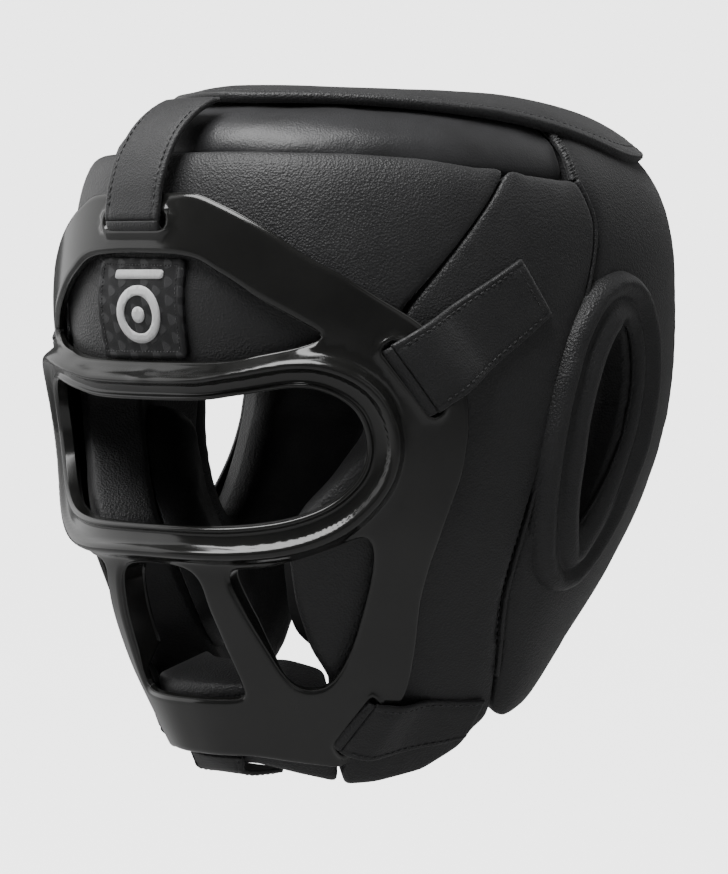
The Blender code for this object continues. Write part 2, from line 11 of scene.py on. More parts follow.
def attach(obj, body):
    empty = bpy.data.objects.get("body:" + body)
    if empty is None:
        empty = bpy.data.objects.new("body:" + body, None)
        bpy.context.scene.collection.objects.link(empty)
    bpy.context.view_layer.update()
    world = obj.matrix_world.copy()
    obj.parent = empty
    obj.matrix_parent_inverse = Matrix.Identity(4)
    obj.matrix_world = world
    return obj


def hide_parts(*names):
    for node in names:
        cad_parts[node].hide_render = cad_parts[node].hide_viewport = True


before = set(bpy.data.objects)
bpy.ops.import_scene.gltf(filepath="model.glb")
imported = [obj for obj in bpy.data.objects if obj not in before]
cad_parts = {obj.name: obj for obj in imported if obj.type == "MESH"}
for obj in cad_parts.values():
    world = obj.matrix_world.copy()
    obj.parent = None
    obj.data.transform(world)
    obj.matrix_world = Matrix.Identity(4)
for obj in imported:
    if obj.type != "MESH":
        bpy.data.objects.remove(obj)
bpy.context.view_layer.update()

# Millimetres. +Z is up, the face looks along -Y, the wearer's left is +X.
MM = 0.001
PAD = 24.0  # cushion thickness
GRILL_LIFT = 7.0  # outer face of the grill's bars above the cushions
BAR_DEEP = 8.0  # how much deeper the two middle bars are
STRAP = 2.4  # strap thickness
DOME_Z = 55.0  # where the shell starts to turn in
DOME_H = 82.5
NOSE = 0.1  # how blunt the middle of the front is
SWELL_FRAMES = 12
STAND_OFF = 1.5  # metres from the middle of the object to the camera and the lights
PICTURE_HIGH = 874 * 0.00041  # metres that the picture shows from top to bottom at the object's middle

# The cushions' outer face: half width, front reach, rear reach and roundness at each height.
HALF_WIDTH = [(-145, 62), (-120, 70), (-90, 83.5), (-60, 95), (-30, 104), (0, 109), (30, 111), (60, 111)]
FRONT = [
    (-145, 72), (-120, 89), (-90, 102), (-60, 113.5), (-30, 116.5), (0, 115), (30, 116), (58, 126.5), (90, 124),
]
REAR = [(-145, 39), (-90, 60), (-69, 87), (-54, 106), (-38, 119), (-20, 128.5), (0, 133.5), (40, 137), (60, 137)]
FRONT_ROUND = [
    (-145, 1.43), (-120, 1.4), (-90, 1.54), (-60, 1.61), (-30, 1.86), (0, 1.98), (30, 2.08), (60, 1.87),
    (90, 1.82),
]
REAR_ROUND = [(-90, 2.0), (-40, 2.0), (20, 2.3)]


# ---- the guard's surface ----


def soft_curve(rows, x, blur, reach_of_blur):
    """The rows as a soft curve at even steps x, so that no crease shows where two rows meet."""
    rows = np.array(rows, float)
    step = x[1] - x[0]
    value = np.interp(x, rows[:, 0], rows[:, 1])
    kernel = np.exp(-0.5 * (np.arange(-reach_of_blur, reach_of_blur + 1) * step / blur) ** 2)
    padded = np.pad(value, reach_of_blur, "edge")
    return x, np.convolve(padded, kernel / kernel.sum(), "valid")


TABLES = {
    name: soft_curve(rows, np.arange(rows[0][0] - 40.0, rows[-1][0] + 121), 7.0, 21)
    for name, rows in (
        ("wide", HALF_WIDTH),
        ("front", FRONT),
        ("rear", REAR),
        ("front_round", FRONT_ROUND),
        ("rear_round", REAR_ROUND),
    )
}


def table(name, z):
    return np.interp(z, *TABLES[name])


def dome(z, power):
    """How far the shell still reaches at a height, as a share: 1 up to the dome, then a rounded fall to 0."""
    t = np.clip((z - DOME_Z) / DOME_H, 0.0, 0.99999)
    return (1.0 - t**power) ** (1.0 / power)


def reach(turn, z):
    """Distance from the upright axis to the shell; the turn is in degrees from the face, towards +X."""
    t = np.radians(turn)
    across = np.abs(np.sin(t))
    along = np.cos(t)
    blunt = (np.sqrt(across**2 + NOSE**2) - NOSE) / (math.sqrt(1 + NOSE**2) - NOSE)
    across = np.where(along > 0, blunt, across)
    wide = table("wide", z) * dome(z, 3.4)
    front = table("front", z) * dome(z, 4.4)
    rear = table("rear", z) * dome(z, 2.8)
    deep = np.where(along > 0, front, rear)
    power = np.where(along > 0, table("front_round", z), table("rear_round", z))
    return ((across / wide) ** power + (np.abs(along) / deep) ** power) ** (-1.0 / power)


def side_shell(turn, z):
    r = reach(turn, z)
    t = np.radians(turn)
    return np.stack([r * np.sin(t), -r * np.cos(t), z + 0.0 * r], -1)


def along_from_start(line):
    """Distance along an open line to each of its points."""
    return np.concatenate([[0.0], np.cumsum(np.linalg.norm(np.diff(line, axis=0), axis=1))])


def unit(vectors):
    return vectors / np.linalg.norm(vectors, axis=-1, keepdims=True)


def surface(turn, z, above, below):
    """Places on the guard's outer face and its outward directions, read from the heights above and below."""
    round_about = side_shell(turn + 1.0, z) - side_shell(turn - 1.0, z)
    upward = side_shell(turn, above) - side_shell(turn, below)
    return side_shell(turn, z), unit(np.cross(round_about, upward))


def side_map(flat):
    """Flat points are (twice the turn in degrees, height), about a millimetre to a unit both ways."""
    z = flat[:, 1]
    return surface(flat[:, 0] / 2.0, z, z + 1.5, z - 1.5)


UPRIGHT_TO = 60.0  # up to here a height and the distance along the surface are the same
HEIGHTS = np.concatenate([np.arange(UPRIGHT_TO, 130.0, 1.0), np.linspace(130.0, 137.3, 60)])
CLIMB = UPRIGHT_TO + along_from_start(np.stack([HEIGHTS, reach(115.0, HEIGHTS)], -1))


def tall_map(flat):
    """As side_map, with the second number measured along the surface, so that it runs on over the dome."""
    z = np.where(flat[:, 1] > UPRIGHT_TO, np.interp(flat[:, 1], CLIMB, HEIGHTS), flat[:, 1])
    return surface(flat[:, 0] / 2.0, z, np.minimum(z + 0.5, 137.4), z - 0.5)


def tall(corners):
    return [(2.0 * turn, float(np.interp(z, HEIGHTS, CLIMB)) if z > UPRIGHT_TO else z) for turn, z in corners]


def top_height(x, y):
    turn = np.degrees(np.arctan2(x, -y))
    far = np.hypot(x, y)
    low = np.full(len(x), DOME_Z)
    high = np.full(len(x), DOME_Z + DOME_H * 0.9999)
    for _ in range(34):
        middle = (low + high) / 2.0
        outside = reach(turn, middle) > far
        low = np.where(outside, middle, low)
        high = np.where(outside, high, middle)
    return low


def top_map(flat):
    """Flat points are (x, y) as seen from above; the front is -Y."""
    x, y = flat.T
    place = np.stack([x, y, top_height(x, y)], -1)
    sideways = np.stack([x * 0 + 6.0, y * 0, top_height(x + 3, y) - top_height(x - 3, y)], -1)
    back = np.stack([x * 0, y * 0 + 6.0, top_height(x, y + 3) - top_height(x, y - 3)], -1)
    return place, unit(np.cross(sideways, back))


# ---- outlines and flat work ----


def curve(points, step, least=1, span=np.linalg.norm):
    """A smooth curve from the second of the points to the last but one, without its end; span measures a way."""
    out = []
    for a, b, c, d in zip(points, points[1:], points[2:], points[3:]):
        parts = max(least, int(round(span(c - b) / step)))
        for t in np.arange(parts) / parts:
            bend = (2 * a - 5 * b + 4 * c - d) * t**2 + (3 * b - a - 3 * c + d) * t**3
            out.append(0.5 * (2 * b + (c - a) * t + bend))
    return out


def smooth_loop(corners, step):
    pts = np.array(corners, float)
    return np.array(curve(np.concatenate([pts[-1:], pts, pts[:2]]), step))


def open_line(corners, step, least=1, span=np.linalg.norm):
    pts = np.array(corners, float)
    return np.array(curve(np.concatenate([pts[:1], pts, pts[-1:]]), step, least, span) + [pts[-1]])


def straight_loop(corners, step):
    pts = np.array(corners, float)
    out = []
    for a, b in zip(pts, np.roll(pts, -1, axis=0)):
        parts = max(1, int(round(np.linalg.norm(b - a) / step)))
        out += [a + (b - a) * k / parts for k in range(parts)]
    return np.array(out)


def even_loop(loop, step):
    """The same closed curve with evenly spaced points."""
    closed = np.concatenate([loop, loop[:1]])
    run = along_from_start(closed)
    count = max(8, int(round(run[-1] / step)))
    at = np.arange(count) * run[-1] / count
    return np.stack([np.interp(at, run, closed[:, k]) for k in (0, 1)], -1)


def soften(loop, times):
    for _ in range(times):
        loop = 0.25 * np.roll(loop, 1, axis=0) + 0.5 * loop + 0.25 * np.roll(loop, -1, axis=0)
    return loop


def arcs(corners):
    return [(2.0 * turn, z) for turn, z in corners]


def both_sides(half):
    return list(half) + [(-turn, z) for turn, z in reversed(half)]


def inset(loop, by):
    ahead = np.roll(loop, -1, axis=0) - np.roll(loop, 1, axis=0)
    area = np.sum(loop[:, 0] * np.roll(loop[:, 1], -1) - np.roll(loop[:, 0], -1) * loop[:, 1])
    ahead /= np.linalg.norm(ahead, axis=1)[:, None] + 1e-9
    left = np.stack([-ahead[:, 1], ahead[:, 0]], -1)
    return loop + left * by * (1 if area > 0 else -1)


def distance_to(points, loop, closed=True):
    a = loop if closed else loop[:-1]
    b = np.roll(loop, -1, axis=0) if closed else loop[1:]
    ab = b - a
    out = np.empty(len(points))
    for start in range(0, len(points), 4000):
        ap = points[start : start + 4000, None, :] - a[None]
        t = np.clip((ap * ab[None]).sum(-1) / ((ab * ab).sum(-1) + 1e-12), 0, 1)
        out[start : start + 4000] = np.sqrt(((ap - ab[None] * t[..., None]) ** 2).sum(-1).min(1))
    return out


def edge_distance(points, loops):
    return np.min([distance_to(points, loop) for loop in loops], axis=0)


def inside(points, loop):
    x, y = points[:, 0], points[:, 1]
    odd = np.zeros(len(points), bool)
    for a, b in zip(loop, np.roll(loop, -1, axis=0)):
        if a[1] == b[1]:
            continue
        crosses = (a[1] > y) != (b[1] > y)
        odd ^= crosses & (x < (b[0] - a[0]) * (y - a[1]) / (b[1] - a[1]) + a[0])
    return odd


def within(points, loops):
    """True inside the first loop and outside the others, which are holes."""
    found = inside(points, loops[0])
    for hole in loops[1:]:
        found &= ~inside(points, hole)
    return found


def staggered(low, high, spacing):
    """Points in rows, each row moved on by half a step, so that they make even triangles."""
    xs = np.arange(low[0], high[0], spacing)
    ys = np.arange(low[1], high[1], spacing * 0.866)
    return np.array([(x + (j % 2) * spacing / 2, y) for j, y in enumerate(ys) for x in xs]).reshape(-1, 2)


def fill(loops, rings, spacing, close=None):
    """Triangles over the first loop with the others left open; rings are extra rows beside the edges.

    close is (loop, from, to, spacing): a belt round that loop gets a closer grid instead of rows.
    """
    outer = loops[0]
    grid = staggered(outer.min(0) + spacing / 2, outer.max(0), spacing)
    grid = grid[within(grid, loops)]
    grid = grid[edge_distance(grid, loops) > 0.5 * spacing]
    belt = np.zeros((0, 2))
    if close:
        around, near, far, fine = close
        grid = grid[np.abs(distance_to(grid, around) - (near + far) / 2) > (far - near) / 2 + 0.3 * spacing]
        belt = staggered(around.min(0) - far, around.max(0) + far, fine)
        away = distance_to(belt, around)
        belt = belt[(away > near) & (away < far)]
        belt = belt[within(belt, loops)]
        belt = belt[edge_distance(belt, loops) > 1.2 * fine]
    rows = []
    for by, loop in rings:
        row = inset(loop, by)
        rows.append(row[edge_distance(row, loops) > abs(by) * 0.93])
    if rows:
        rows = np.concatenate(rows)
        keep = [((rows - point) ** 2).sum(-1).min() > (0.45 * spacing) ** 2 for point in grid]
        grid = np.concatenate([rows, grid[keep]])
    points = np.concatenate(list(loops) + [grid, belt])
    edges = []
    start = 0
    for loop in loops:
        n = len(loop)
        edges += [(start + i, start + (i + 1) % n) for i in range(n)]
        start += n
    found = delaunay_2d_cdt([Vector(p) for p in points], edges, [], 1, 1e-3)
    flat = np.array([tuple(v) for v in found[0]])
    tris = np.array([tuple(f) for f in found[2]])
    return flat, tris[within(flat[tris].mean(1), loops)]


def rim_edges(tris):
    """Directed edges that only one triangle uses."""
    n = tris.max() + 1
    directed = np.concatenate([tris[:, [0, 1]], tris[:, [1, 2]], tris[:, [2, 0]]])
    key = directed[:, 0].astype(np.int64) * n + directed[:, 1]
    back = directed[:, 1].astype(np.int64) * n + directed[:, 0]
    return directed[~np.isin(key, back)]


def grain(points, scale, seed=0.0):
    """Smooth noise from -1 to 1 at places in millimetres; scale is the size of a lump."""
    return np.array([noise.noise(Vector((p[0] / scale + seed, p[1] / scale, p[2] / scale))) for p in points])


# ---- making pieces ----


def mesh_object(name, verts, faces, material, smooth=True):
    data = bpy.data.meshes.new(name)
    places = [tuple(v) for v in np.asarray(verts, float) * MM]
    data.from_pydata(places, [], [tuple(int(i) for i in f) for f in faces])
    data.validate()
    data.update()
    obj = bpy.data.objects.new(name, data)
    bpy.context.scene.collection.objects.link(obj)
    data.materials.append(material)
    data.polygons.foreach_set("use_smooth", [smooth] * len(data.polygons))
    return obj


def shade_true(obj, shell, flat, top, under):
    """Smooth shading from the surface's own slope, so that the shape of the triangles doesn't show."""

    def slope(height):
        step = 0.12
        around = []
        for way in ((step, 0.0), (-step, 0.0), (0.0, step), (0.0, -step)):
            moved = flat + np.array(way)
            place, normal = shell(moved)
            around.append(place + normal * height(moved, place)[:, None])
        out = unit(np.cross(around[0] - around[1], around[2] - around[3]))
        return out * np.sign((out * shell(flat)[1]).sum(1))[:, None]

    data = obj.data
    own = np.array([tuple(v.normal) for v in data.vertices])
    count = len(flat)
    own[:count] = slope(top)
    own[count : 2 * count] = -slope(under)
    data.normals_split_custom_set_from_vertices([tuple(n) for n in own])


def settle(obj, body, nodes=()):
    """Says what the piece rides on and which CAD nodes it stands for."""
    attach(obj, body)
    if nodes:
        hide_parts(*nodes)


def put(name, shape, material, body="guard", nodes=(), cap=0.0):
    """Makes a piece and settles it; a cap says how far pressure may swell it, in metres."""
    obj = mesh_object(name, *shape, material)
    if cap:
        swell(obj, cap)
    settle(obj, body, nodes)


def mirrored(verts, faces):
    return np.asarray(verts) * np.array([-1.0, 1.0, 1.0]), [tuple(reversed(tuple(f))) for f in faces]


def sides(shape, pair=True):
    """A shape with its name's ending, and its mirror image too where there is a pair."""
    return [("_L", shape), ("_R", mirrored(*shape))] if pair else [("", shape)]


def put_pair(name, shape, material, nodes=(), cap=0.0):
    for side, own in sides(shape):
        put(name + side, own, material, "guard", [node + side for node in nodes], cap)


def sheet_solid(shell, filled, top, under):
    """A closed piece between two heights above the shell, both given as functions of the flat points."""
    flat, tris = filled
    place, normal = shell(flat)
    high = top(flat, place)
    low = under(flat, place)
    n = len(flat)
    verts = np.concatenate([place + normal * high[:, None], place + normal * low[:, None]])
    faces = [tuple(t) for t in tris] + [(n + c, n + b, n + a) for a, b, c in tris]
    rim = rim_edges(tris)
    # The wall between the faces gets two rows of its own, so that it stays a crisp wall under smooth shading.
    rim_points = np.unique(rim)
    m = len(rim_points)
    walls = [verts[rim_points] * (1 - share) + verts[n + rim_points] * share for share in (0.12, 0.88)]
    down = {p: (p, 2 * n + i, 2 * n + m + i, n + p) for i, p in enumerate(rim_points.tolist())}
    for a, b in rim.tolist():
        for k in range(3):
            faces.append((down[b][k], down[a][k], down[a][k + 1], down[b][k + 1]))
    return np.concatenate([verts] + walls), faces


def level(height):
    """A height that is the same all over."""
    return lambda flat, place: np.full(len(flat), height)


def rounded(away, radius):
    """Fall from 0 at the full height to 1 at an edge, as a quarter circle."""
    t = np.clip(1.0 - away / radius, 0.0, 0.9999)
    return 1.0 - np.sqrt(1.0 - t**2)


def cushion_shape(shell, loops, lift, thick, radius, drop, crown, seed, tight_seams=(), spacing=4.2):
    """A stuffed cushion: rounded edges, a slight crown, soft puckers beside its seams and low, slow ripples.

    lift is its height on the shell, radius and drop round its edges, and crown is how far its middle rises.
    """
    rings = [(by, loop) for loop in loops for by in (0.35, 1.0, 2.0, 3.4)]

    def firm(flat):
        """0 beside a tight seam, where two panels are sewn edge to edge, and 1 away from it."""
        if not len(tight_seams):
            return np.ones(len(flat))
        near = np.min([distance_to(flat, seam, False) for seam in tight_seams], axis=0)
        return np.clip((near - 4.0) / 7.0, 0, 1)

    def top(flat, place):
        away = edge_distance(flat, loops)
        free = firm(flat)
        high = lift - drop * (0.35 + 0.65 * free) * rounded(away, radius * (0.5 + 0.5 * free))
        high += crown * (1.0 - np.exp(-away / 16.0))
        high += 0.25 * grain(place, 19.0, seed) * np.clip(away / 6.0, 0, 1)
        pucker = np.exp(-(((away - 3.0) / 3.0) ** 2))
        high += 0.16 * pucker * grain(place, 4.6, seed + 7.0)
        return high

    def under(flat, place):
        away = edge_distance(flat, loops)
        deep = thick(place) if callable(thick) else thick
        low = lift - deep + 2.0 * rounded(away, 5.0) + 0.3 * grain(place, 14.0, seed + 3.0)
        if len(loops) > 1:
            low += 9.0 * rounded(distance_to(flat, loops[1]), 15.0)
        return low

    return sheet_solid(shell, fill(loops, rings, spacing), top, under)


def places_of(data):
    found = np.empty(len(data.vertices) * 3, np.float32)
    data.vertices.foreach_get("co", found)
    return found.reshape(-1, 3)


def swell(obj, cap):
    """Blows the cushion up a little with cloth under pressure and keeps each point near where it was."""
    start = places_of(obj.data)
    cloth = obj.modifiers.new("swell", "CLOTH")
    cloth.settings.quality = 4
    cloth.settings.mass = 0.4
    cloth.settings.use_pressure = True
    cloth.settings.uniform_pressure_force = 4.0
    cloth.settings.tension_stiffness = 25.0
    cloth.settings.compression_stiffness = 25.0
    cloth.settings.bending_stiffness = 2.0
    cloth.settings.effector_weights.gravity = 0.0
    cloth.collision_settings.use_collision = False
    cloth.point_cache.frame_start = 1
    cloth.point_cache.frame_end = SWELL_FRAMES
    for step in range(1, SWELL_FRAMES + 1):
        bpy.context.scene.frame_set(step)
    blown = obj.evaluated_get(bpy.context.evaluated_depsgraph_get())
    move = places_of(blown.to_mesh()) - start
    blown.to_mesh_clear()
    obj.modifiers.remove(cloth)
    bpy.context.scene.frame_set(1)
    size = np.linalg.norm(move, axis=1)[:, None] + 1e-9
    move *= np.minimum(size, cap) / size
    obj.data.vertices.foreach_set("co", (start + move).ravel())
    obj.data.update()


def tube_faces(rings, parts, closed=False):
    """Faces of a tube whose points run ring by ring; an open one gets a face at each end."""
    faces = []
    for i in range(rings if closed else rings - 1):
        j = (i + 1) % rings
        for k in range(parts):
            q = (k + 1) % parts
            faces.append((i * parts + k, i * parts + q, j * parts + q, j * parts + k))
    if not closed:
        faces.append(tuple(reversed(range(parts))))
        faces.append(tuple(range((rings - 1) * parts, rings * parts)))
    return faces


def read_at(at, run, values):
    """The value, a point or a direction, at a distance along a line."""
    return np.array([np.interp(at, run, column) for column in values.T])


def sweep(places, outs, section, closed=True):
    """A bar along places with outward directions; section holds points (across, outward) round the bar."""
    n = len(places)
    if closed:
        ahead = unit(np.roll(places, -1, axis=0) - np.roll(places, 1, axis=0))
    else:
        ahead = unit(np.gradient(places, axis=0))
    outs = unit(outs - ahead * (outs * ahead).sum(1)[:, None])
    side = np.cross(ahead, outs)
    section = np.array(section, float)
    if section.ndim == 2:
        section = np.repeat(section[None], n, axis=0)
    verts = places[:, None] + side[:, None] * section[..., :1] + outs[:, None] * section[..., 1:]
    verts = verts.reshape(-1, 3)
    return verts, outward(verts, tube_faces(n, section.shape[1], closed))


def outward(verts, faces):
    """Turns the faces the right way round by the sign of the volume."""
    total = 0.0
    for face in faces:
        a = verts[face[0]]
        for k in range(1, len(face) - 1):
            total += np.dot(a, np.cross(verts[face[k]], verts[face[k + 1]]))
    return faces if total > 0 else [tuple(reversed(tuple(f))) for f in faces]


def round_section(wide, tall, count):
    return [
        (wide * math.cos(2 * math.pi * k / count), tall * math.sin(2 * math.pi * k / count)) for k in range(count)
    ]


def stitch_row(points, outs, pitch=3.2, length=2.2, radius=0.32, sink=0.05):
    """Thread lying along a line of places: short rounded bars with a gap between each two."""
    points = np.array(points)
    outs = np.array(outs)
    run = along_from_start(points)
    ends = ((-0.5, 0.35, -0.28), (-0.3, 1.0, 0.05), (0.3, 1.0, 0.05), (0.5, 0.35, -0.28))
    hexagon = round_section(radius, radius, 6)
    parts = []
    at = pitch / 2
    while at < run[-1] - length / 2:
        centres = [read_at(at + share * length, run, points) for share, _, _ in ends]
        out = unit(read_at(at, run, outs))
        side = np.cross(unit(centres[3] - centres[0]), out)
        verts = [
            centre + side * wide * across + out * (lift - sink + wide * up)
            for centre, (_, wide, lift) in zip(centres, ends)
            for across, up in hexagon
        ]
        parts.append((verts, tube_faces(len(ends), 6)))
        at += pitch
    return joined(parts)


def stitch_loop(places, outs, **sizes):
    """Thread round a closed line."""
    return stitch_row(np.concatenate([places, places[:1]]), np.concatenate([outs, outs[:1]]), **sizes)


def joined(parts):
    verts = []
    faces = []
    for v, f in parts:
        base = len(verts)
        verts += list(v)
        faces += [tuple(i + base for i in face) for face in f]
    return np.array(verts), faces


# ---- materials ----


def set_inputs(tree, node, values):
    """Links each input to a socket, or sets it to a plain value."""
    for name, value in values.items():
        if isinstance(value, bpy.types.NodeSocket):
            tree.links.new(value, node.inputs[name])
        else:
            node.inputs[name].default_value = value


def new_material(name, rough):
    material = bpy.data.materials.new(name)
    material.use_nodes = True
    tree = material.node_tree
    shader = tree.nodes["Principled BSDF"]
    shader.inputs["Roughness"].default_value = rough
    return material, tree, shader


def texture(tree, kind, values):
    node = tree.nodes.new("ShaderNodeTex" + kind)
    set_inputs(tree, node, values)
    return node


def noise_node(tree, scale, detail, vector):
    return texture(tree, "Noise", {"Scale": scale, "Detail": detail, "Vector": vector}).outputs["Fac"]


def ramp(tree, value, low, high, out_low, out_high):
    node = tree.nodes.new("ShaderNodeMapRange")
    ends = {"From Min": low, "From Max": high, "To Min": out_low, "To Max": out_high}
    set_inputs(tree, node, {"Value": value, **ends})
    return node.outputs["Result"]


def colour_between(tree, value, dark, light):
    node = tree.nodes.new("ShaderNodeMix")
    node.data_type = "RGBA"
    set_inputs(tree, node, {"Factor": value, "A": (*dark, 1), "B": (*light, 1)})
    return node.outputs["Result"]


def math_node(tree, operation, a, b=0.0):
    node = tree.nodes.new("ShaderNodeMath")
    node.operation = operation
    set_inputs(tree, node, {0: a, 1: b})
    return node.outputs[0]


def mix_of(tree, a, share_a, b, share_b):
    return math_node(tree, "ADD", math_node(tree, "MULTIPLY", a, share_a), math_node(tree, "MULTIPLY", b, share_b))


def bump(tree, shader, height, distance):
    node = tree.nodes.new("ShaderNodeBump")
    set_inputs(tree, node, {"Distance": distance, "Strength": 1.0, "Height": height})
    tree.links.new(node.outputs["Normal"], shader.inputs["Normal"])


def place_vector(tree):
    return tree.nodes.new("ShaderNodeTexCoord").outputs["Object"]


def leather(name, dark, light, rough_low, rough_high, cell, depth, sheen):
    """Fine grained leather: small pebbles, slow changes of shade and of polish."""
    material, tree, shader = new_material(name, rough_low)
    where = place_vector(tree)
    pebbles = texture(tree, "Voronoi", {"Scale": 1000.0 / cell, "Vector": where})
    fine = noise_node(tree, 1800.0 / cell, 3.0, where)
    slow = noise_node(tree, 26.0, 4.0, where)
    patchy = noise_node(tree, 90.0, 3.0, where)
    mixed = mix_of(tree, slow, 0.6, patchy, 0.4)
    looks = {
        "Base Color": colour_between(tree, ramp(tree, mixed, 0.35, 0.65, 0, 1), dark, light),
        "Roughness": ramp(tree, mixed, 0.35, 0.65, rough_low, rough_high),
        "Sheen Weight": sheen,
        "Sheen Roughness": 0.5,
        "Specular IOR Level": 0.5,
    }
    set_inputs(tree, shader, looks)
    bump(tree, shader, mix_of(tree, pebbles.outputs["Distance"], 1.0, fine, 0.5), depth)
    return material


def moulded_plastic():
    """Polished black nylon: a mirror-like skin with slow ripples, faint haze and hairline scuffs."""
    material, tree, shader = new_material("grill plastic", 0.1)
    where = place_vector(tree)
    haze = noise_node(tree, 34.0, 5.0, where)
    stretch = tree.nodes.new("ShaderNodeMapping")
    set_inputs(tree, stretch, {"Scale": (900.0, 90.0, 900.0), "Rotation": (0.3, 0.5, 0.9), "Vector": where})
    scuffs = noise_node(tree, 1.0, 2.0, stretch.outputs["Vector"])
    worn = math_node(tree, "MULTIPLY", ramp(tree, scuffs, 0.66, 0.78, 0, 1), ramp(tree, haze, 0.5, 0.7, 0, 0.16))
    shade = ramp(tree, haze, 0.35, 0.65, 0, 1)
    looks = {
        "Base Color": colour_between(tree, shade, (0.0105, 0.0105, 0.0100), (0.0150, 0.0150, 0.0142)),
        "Roughness": math_node(tree, "ADD", ramp(tree, haze, 0.3, 0.7, 0.15, 0.23), worn),
        "IOR": 1.52,
        "Coat Weight": 0.22,
        "Coat Roughness": 0.09,
    }
    set_inputs(tree, shader, looks)
    bump(tree, shader, noise_node(tree, 22.0, 1.0, where), 0.0011)
    return material


def woven(name, dark, light, thread, rough):
    """Cloth of two crossing thread sets, as in lining, hook tape and the label."""
    material, tree, shader = new_material(name, rough)
    where = place_vector(tree)
    threads = {"Scale": 1000.0 / thread / 6.283 * 2, "Distortion": 0.6, "Detail": 1.0, "Vector": where}
    waves = []
    for direction in ("X", "Z"):
        wave = texture(tree, "Wave", threads)
        wave.bands_direction = direction
        waves.append(wave.outputs["Fac"])
    weave = math_node(tree, "MAXIMUM", *waves)
    mixed = mix_of(tree, weave, 0.5, noise_node(tree, 60.0, 4.0, where), 0.5)
    shade = colour_between(tree, ramp(tree, mixed, 0.2, 0.85, 0, 1), dark, light)
    set_inputs(tree, shader, {"Base Color": shade, "Sheen Weight": 0.25})
    bump(tree, shader, weave, 0.0002)
    return material


def label_cloth():
    """Satin label weave with small tone-on-tone triangles and hexagons."""
    material, tree, shader = new_material("label cloth", 0.5)
    where = place_vector(tree)
    split = tree.nodes.new("ShaderNodeSeparateXYZ")
    set_inputs(tree, split, {"Vector": where})
    across, up = split.outputs["X"], split.outputs["Z"]
    size = 2 * math.pi / 0.0062
    bands = []
    for angle in (0.0, math.pi / 3, -math.pi / 3):
        along = mix_of(tree, across, math.cos(angle) * size, up, math.sin(angle) * size)
        bands.append(math_node(tree, "SINE", along))
    total = math_node(tree, "ADD", math_node(tree, "ADD", bands[0], bands[1]), bands[2])
    marks = ramp(tree, total, 0.2, 0.9, 0, 1)
    fibres = noise_node(tree, 2600.0, 2.0, where)
    shade = math_node(tree, "MULTIPLY", marks, ramp(tree, fibres, 0.3, 0.7, 0.75, 1.0))
    looks = {
        "Base Color": colour_between(tree, shade, (0.009, 0.009, 0.010), (0.034, 0.034, 0.036)),
        "Roughness": ramp(tree, total, -1.0, 1.5, 0.62, 0.4),
    }
    set_inputs(tree, shader, looks)
    bump(tree, shader, math_node(tree, "ADD", fibres, marks), 0.00012)
    return material


def thread_cloth(name, dark, light):
    material, tree, shader = new_material(name, 0.6)
    twist = texture(tree, "Wave", {"Scale": 420.0, "Distortion": 2.0, "Vector": place_vector(tree)}).outputs["Fac"]
    set_inputs(tree, shader, {"Base Color": colour_between(tree, twist, dark, light), "Sheen Weight": 0.3})
    bump(tree, shader, twist, 0.00012)
    return material


def black(level):
    return (level, level, level + 0.001)


# Darkest and lightest colour, roughness from and to, grain in millimetres, its depth in metres, sheen.
HIDE = leather("guard leather", black(0.0155), black(0.0225), 0.46, 0.56, 0.9, 0.00022, 0.12)
SATIN_HIDE = leather("crown leather", black(0.017), (0.024, 0.024, 0.026), 0.36, 0.46, 0.8, 0.00007, 0.12)
STRAP_HIDE = leather("strap leather", black(0.014), black(0.021), 0.46, 0.56, 0.8, 0.0002, 0.12)
RING_HIDE = leather("ring leather", black(0.014), black(0.020), 0.42, 0.52, 0.9, 0.0002, 0.12)
INNER_HIDE = leather("inner leather", black(0.013), black(0.019), 0.34, 0.48, 1.0, 0.0001, 0.1)
TAPE = woven("hook tape", (0.20, 0.20, 0.20), (0.42, 0.42, 0.41), 0.6, 0.9)
DARK_TAPE = woven("loop tape", (0.02, 0.02, 0.02), (0.045, 0.045, 0.045), 0.6, 0.95)
PLASTIC = moulded_plastic()
LABEL = label_cloth()
THREAD = thread_cloth("black thread", (0.012, 0.012, 0.013), (0.035, 0.035, 0.037))
WHITE_THREAD = thread_cloth("white thread", (0.88, 0.88, 0.89), (0.98, 0.98, 0.98))


# ---- outlines of the guard's parts ----

SEAM = [
    (94.5, 104), (97.2, 88), (96.2, 75), (93.4, 58), (90.7, 42), (85.75, 18), (82.45, -3), (79.4, -30),
    (78.1, -52.5), (78.75, -66.6), (81.9, -91), (84, -107),
]
SLANT = [(45, 27), (50, 54.6), (60.9, 79), (73.8, 108)]
CROWN_SEAM = [(94.5, 104.5), (95.2, 113), (96.4, 121), (100, 129), (102, 132)]
GAP = 0.5
BROW = [(0, 27)] + [(turn - 0.2, z) for turn, z in SLANT] + [(55, 113), (39, 115), (20, 116), (0, 116)]
SIDE = [(turn + 0.2, z) for turn, z in SLANT] + [(93.6, 104)] + [(turn - GAP, z) for turn, z in SEAM[1:]] + [
    (76.6, -121), (63.8, -129.5), (46, -134), (34.6, -134.8), (34.2, -98.5), (32.1, -88.4), (28.9, -78.3),
    (27, -59.4), (26.5, -35.5), (29.6, -23.7), (36.1, -11.9), (43, 2), (45.3, 14),
]
EAR = [(turn + GAP, z) for turn, z in reversed(CROWN_SEAM)] + [(turn + GAP, z) for turn, z in SEAM[1:]] + [
    (90.7, -110), (99.5, -106), (108, -98), (114, -87), (120.5, -70), (126, -54), (131, -38), (135, -21),
    (137.6, -6), (138.3, 50), (138.3, 101), (138.3, 132),
]
REAR_HALF = [
    (138.7, 2), (150, -8), (163, -14), (175, -16), (175, 40), (175, 101), (179.6, 106), (179.6, 132), (138.7, 132),
    (138.7, 101), (138.7, 50),
]
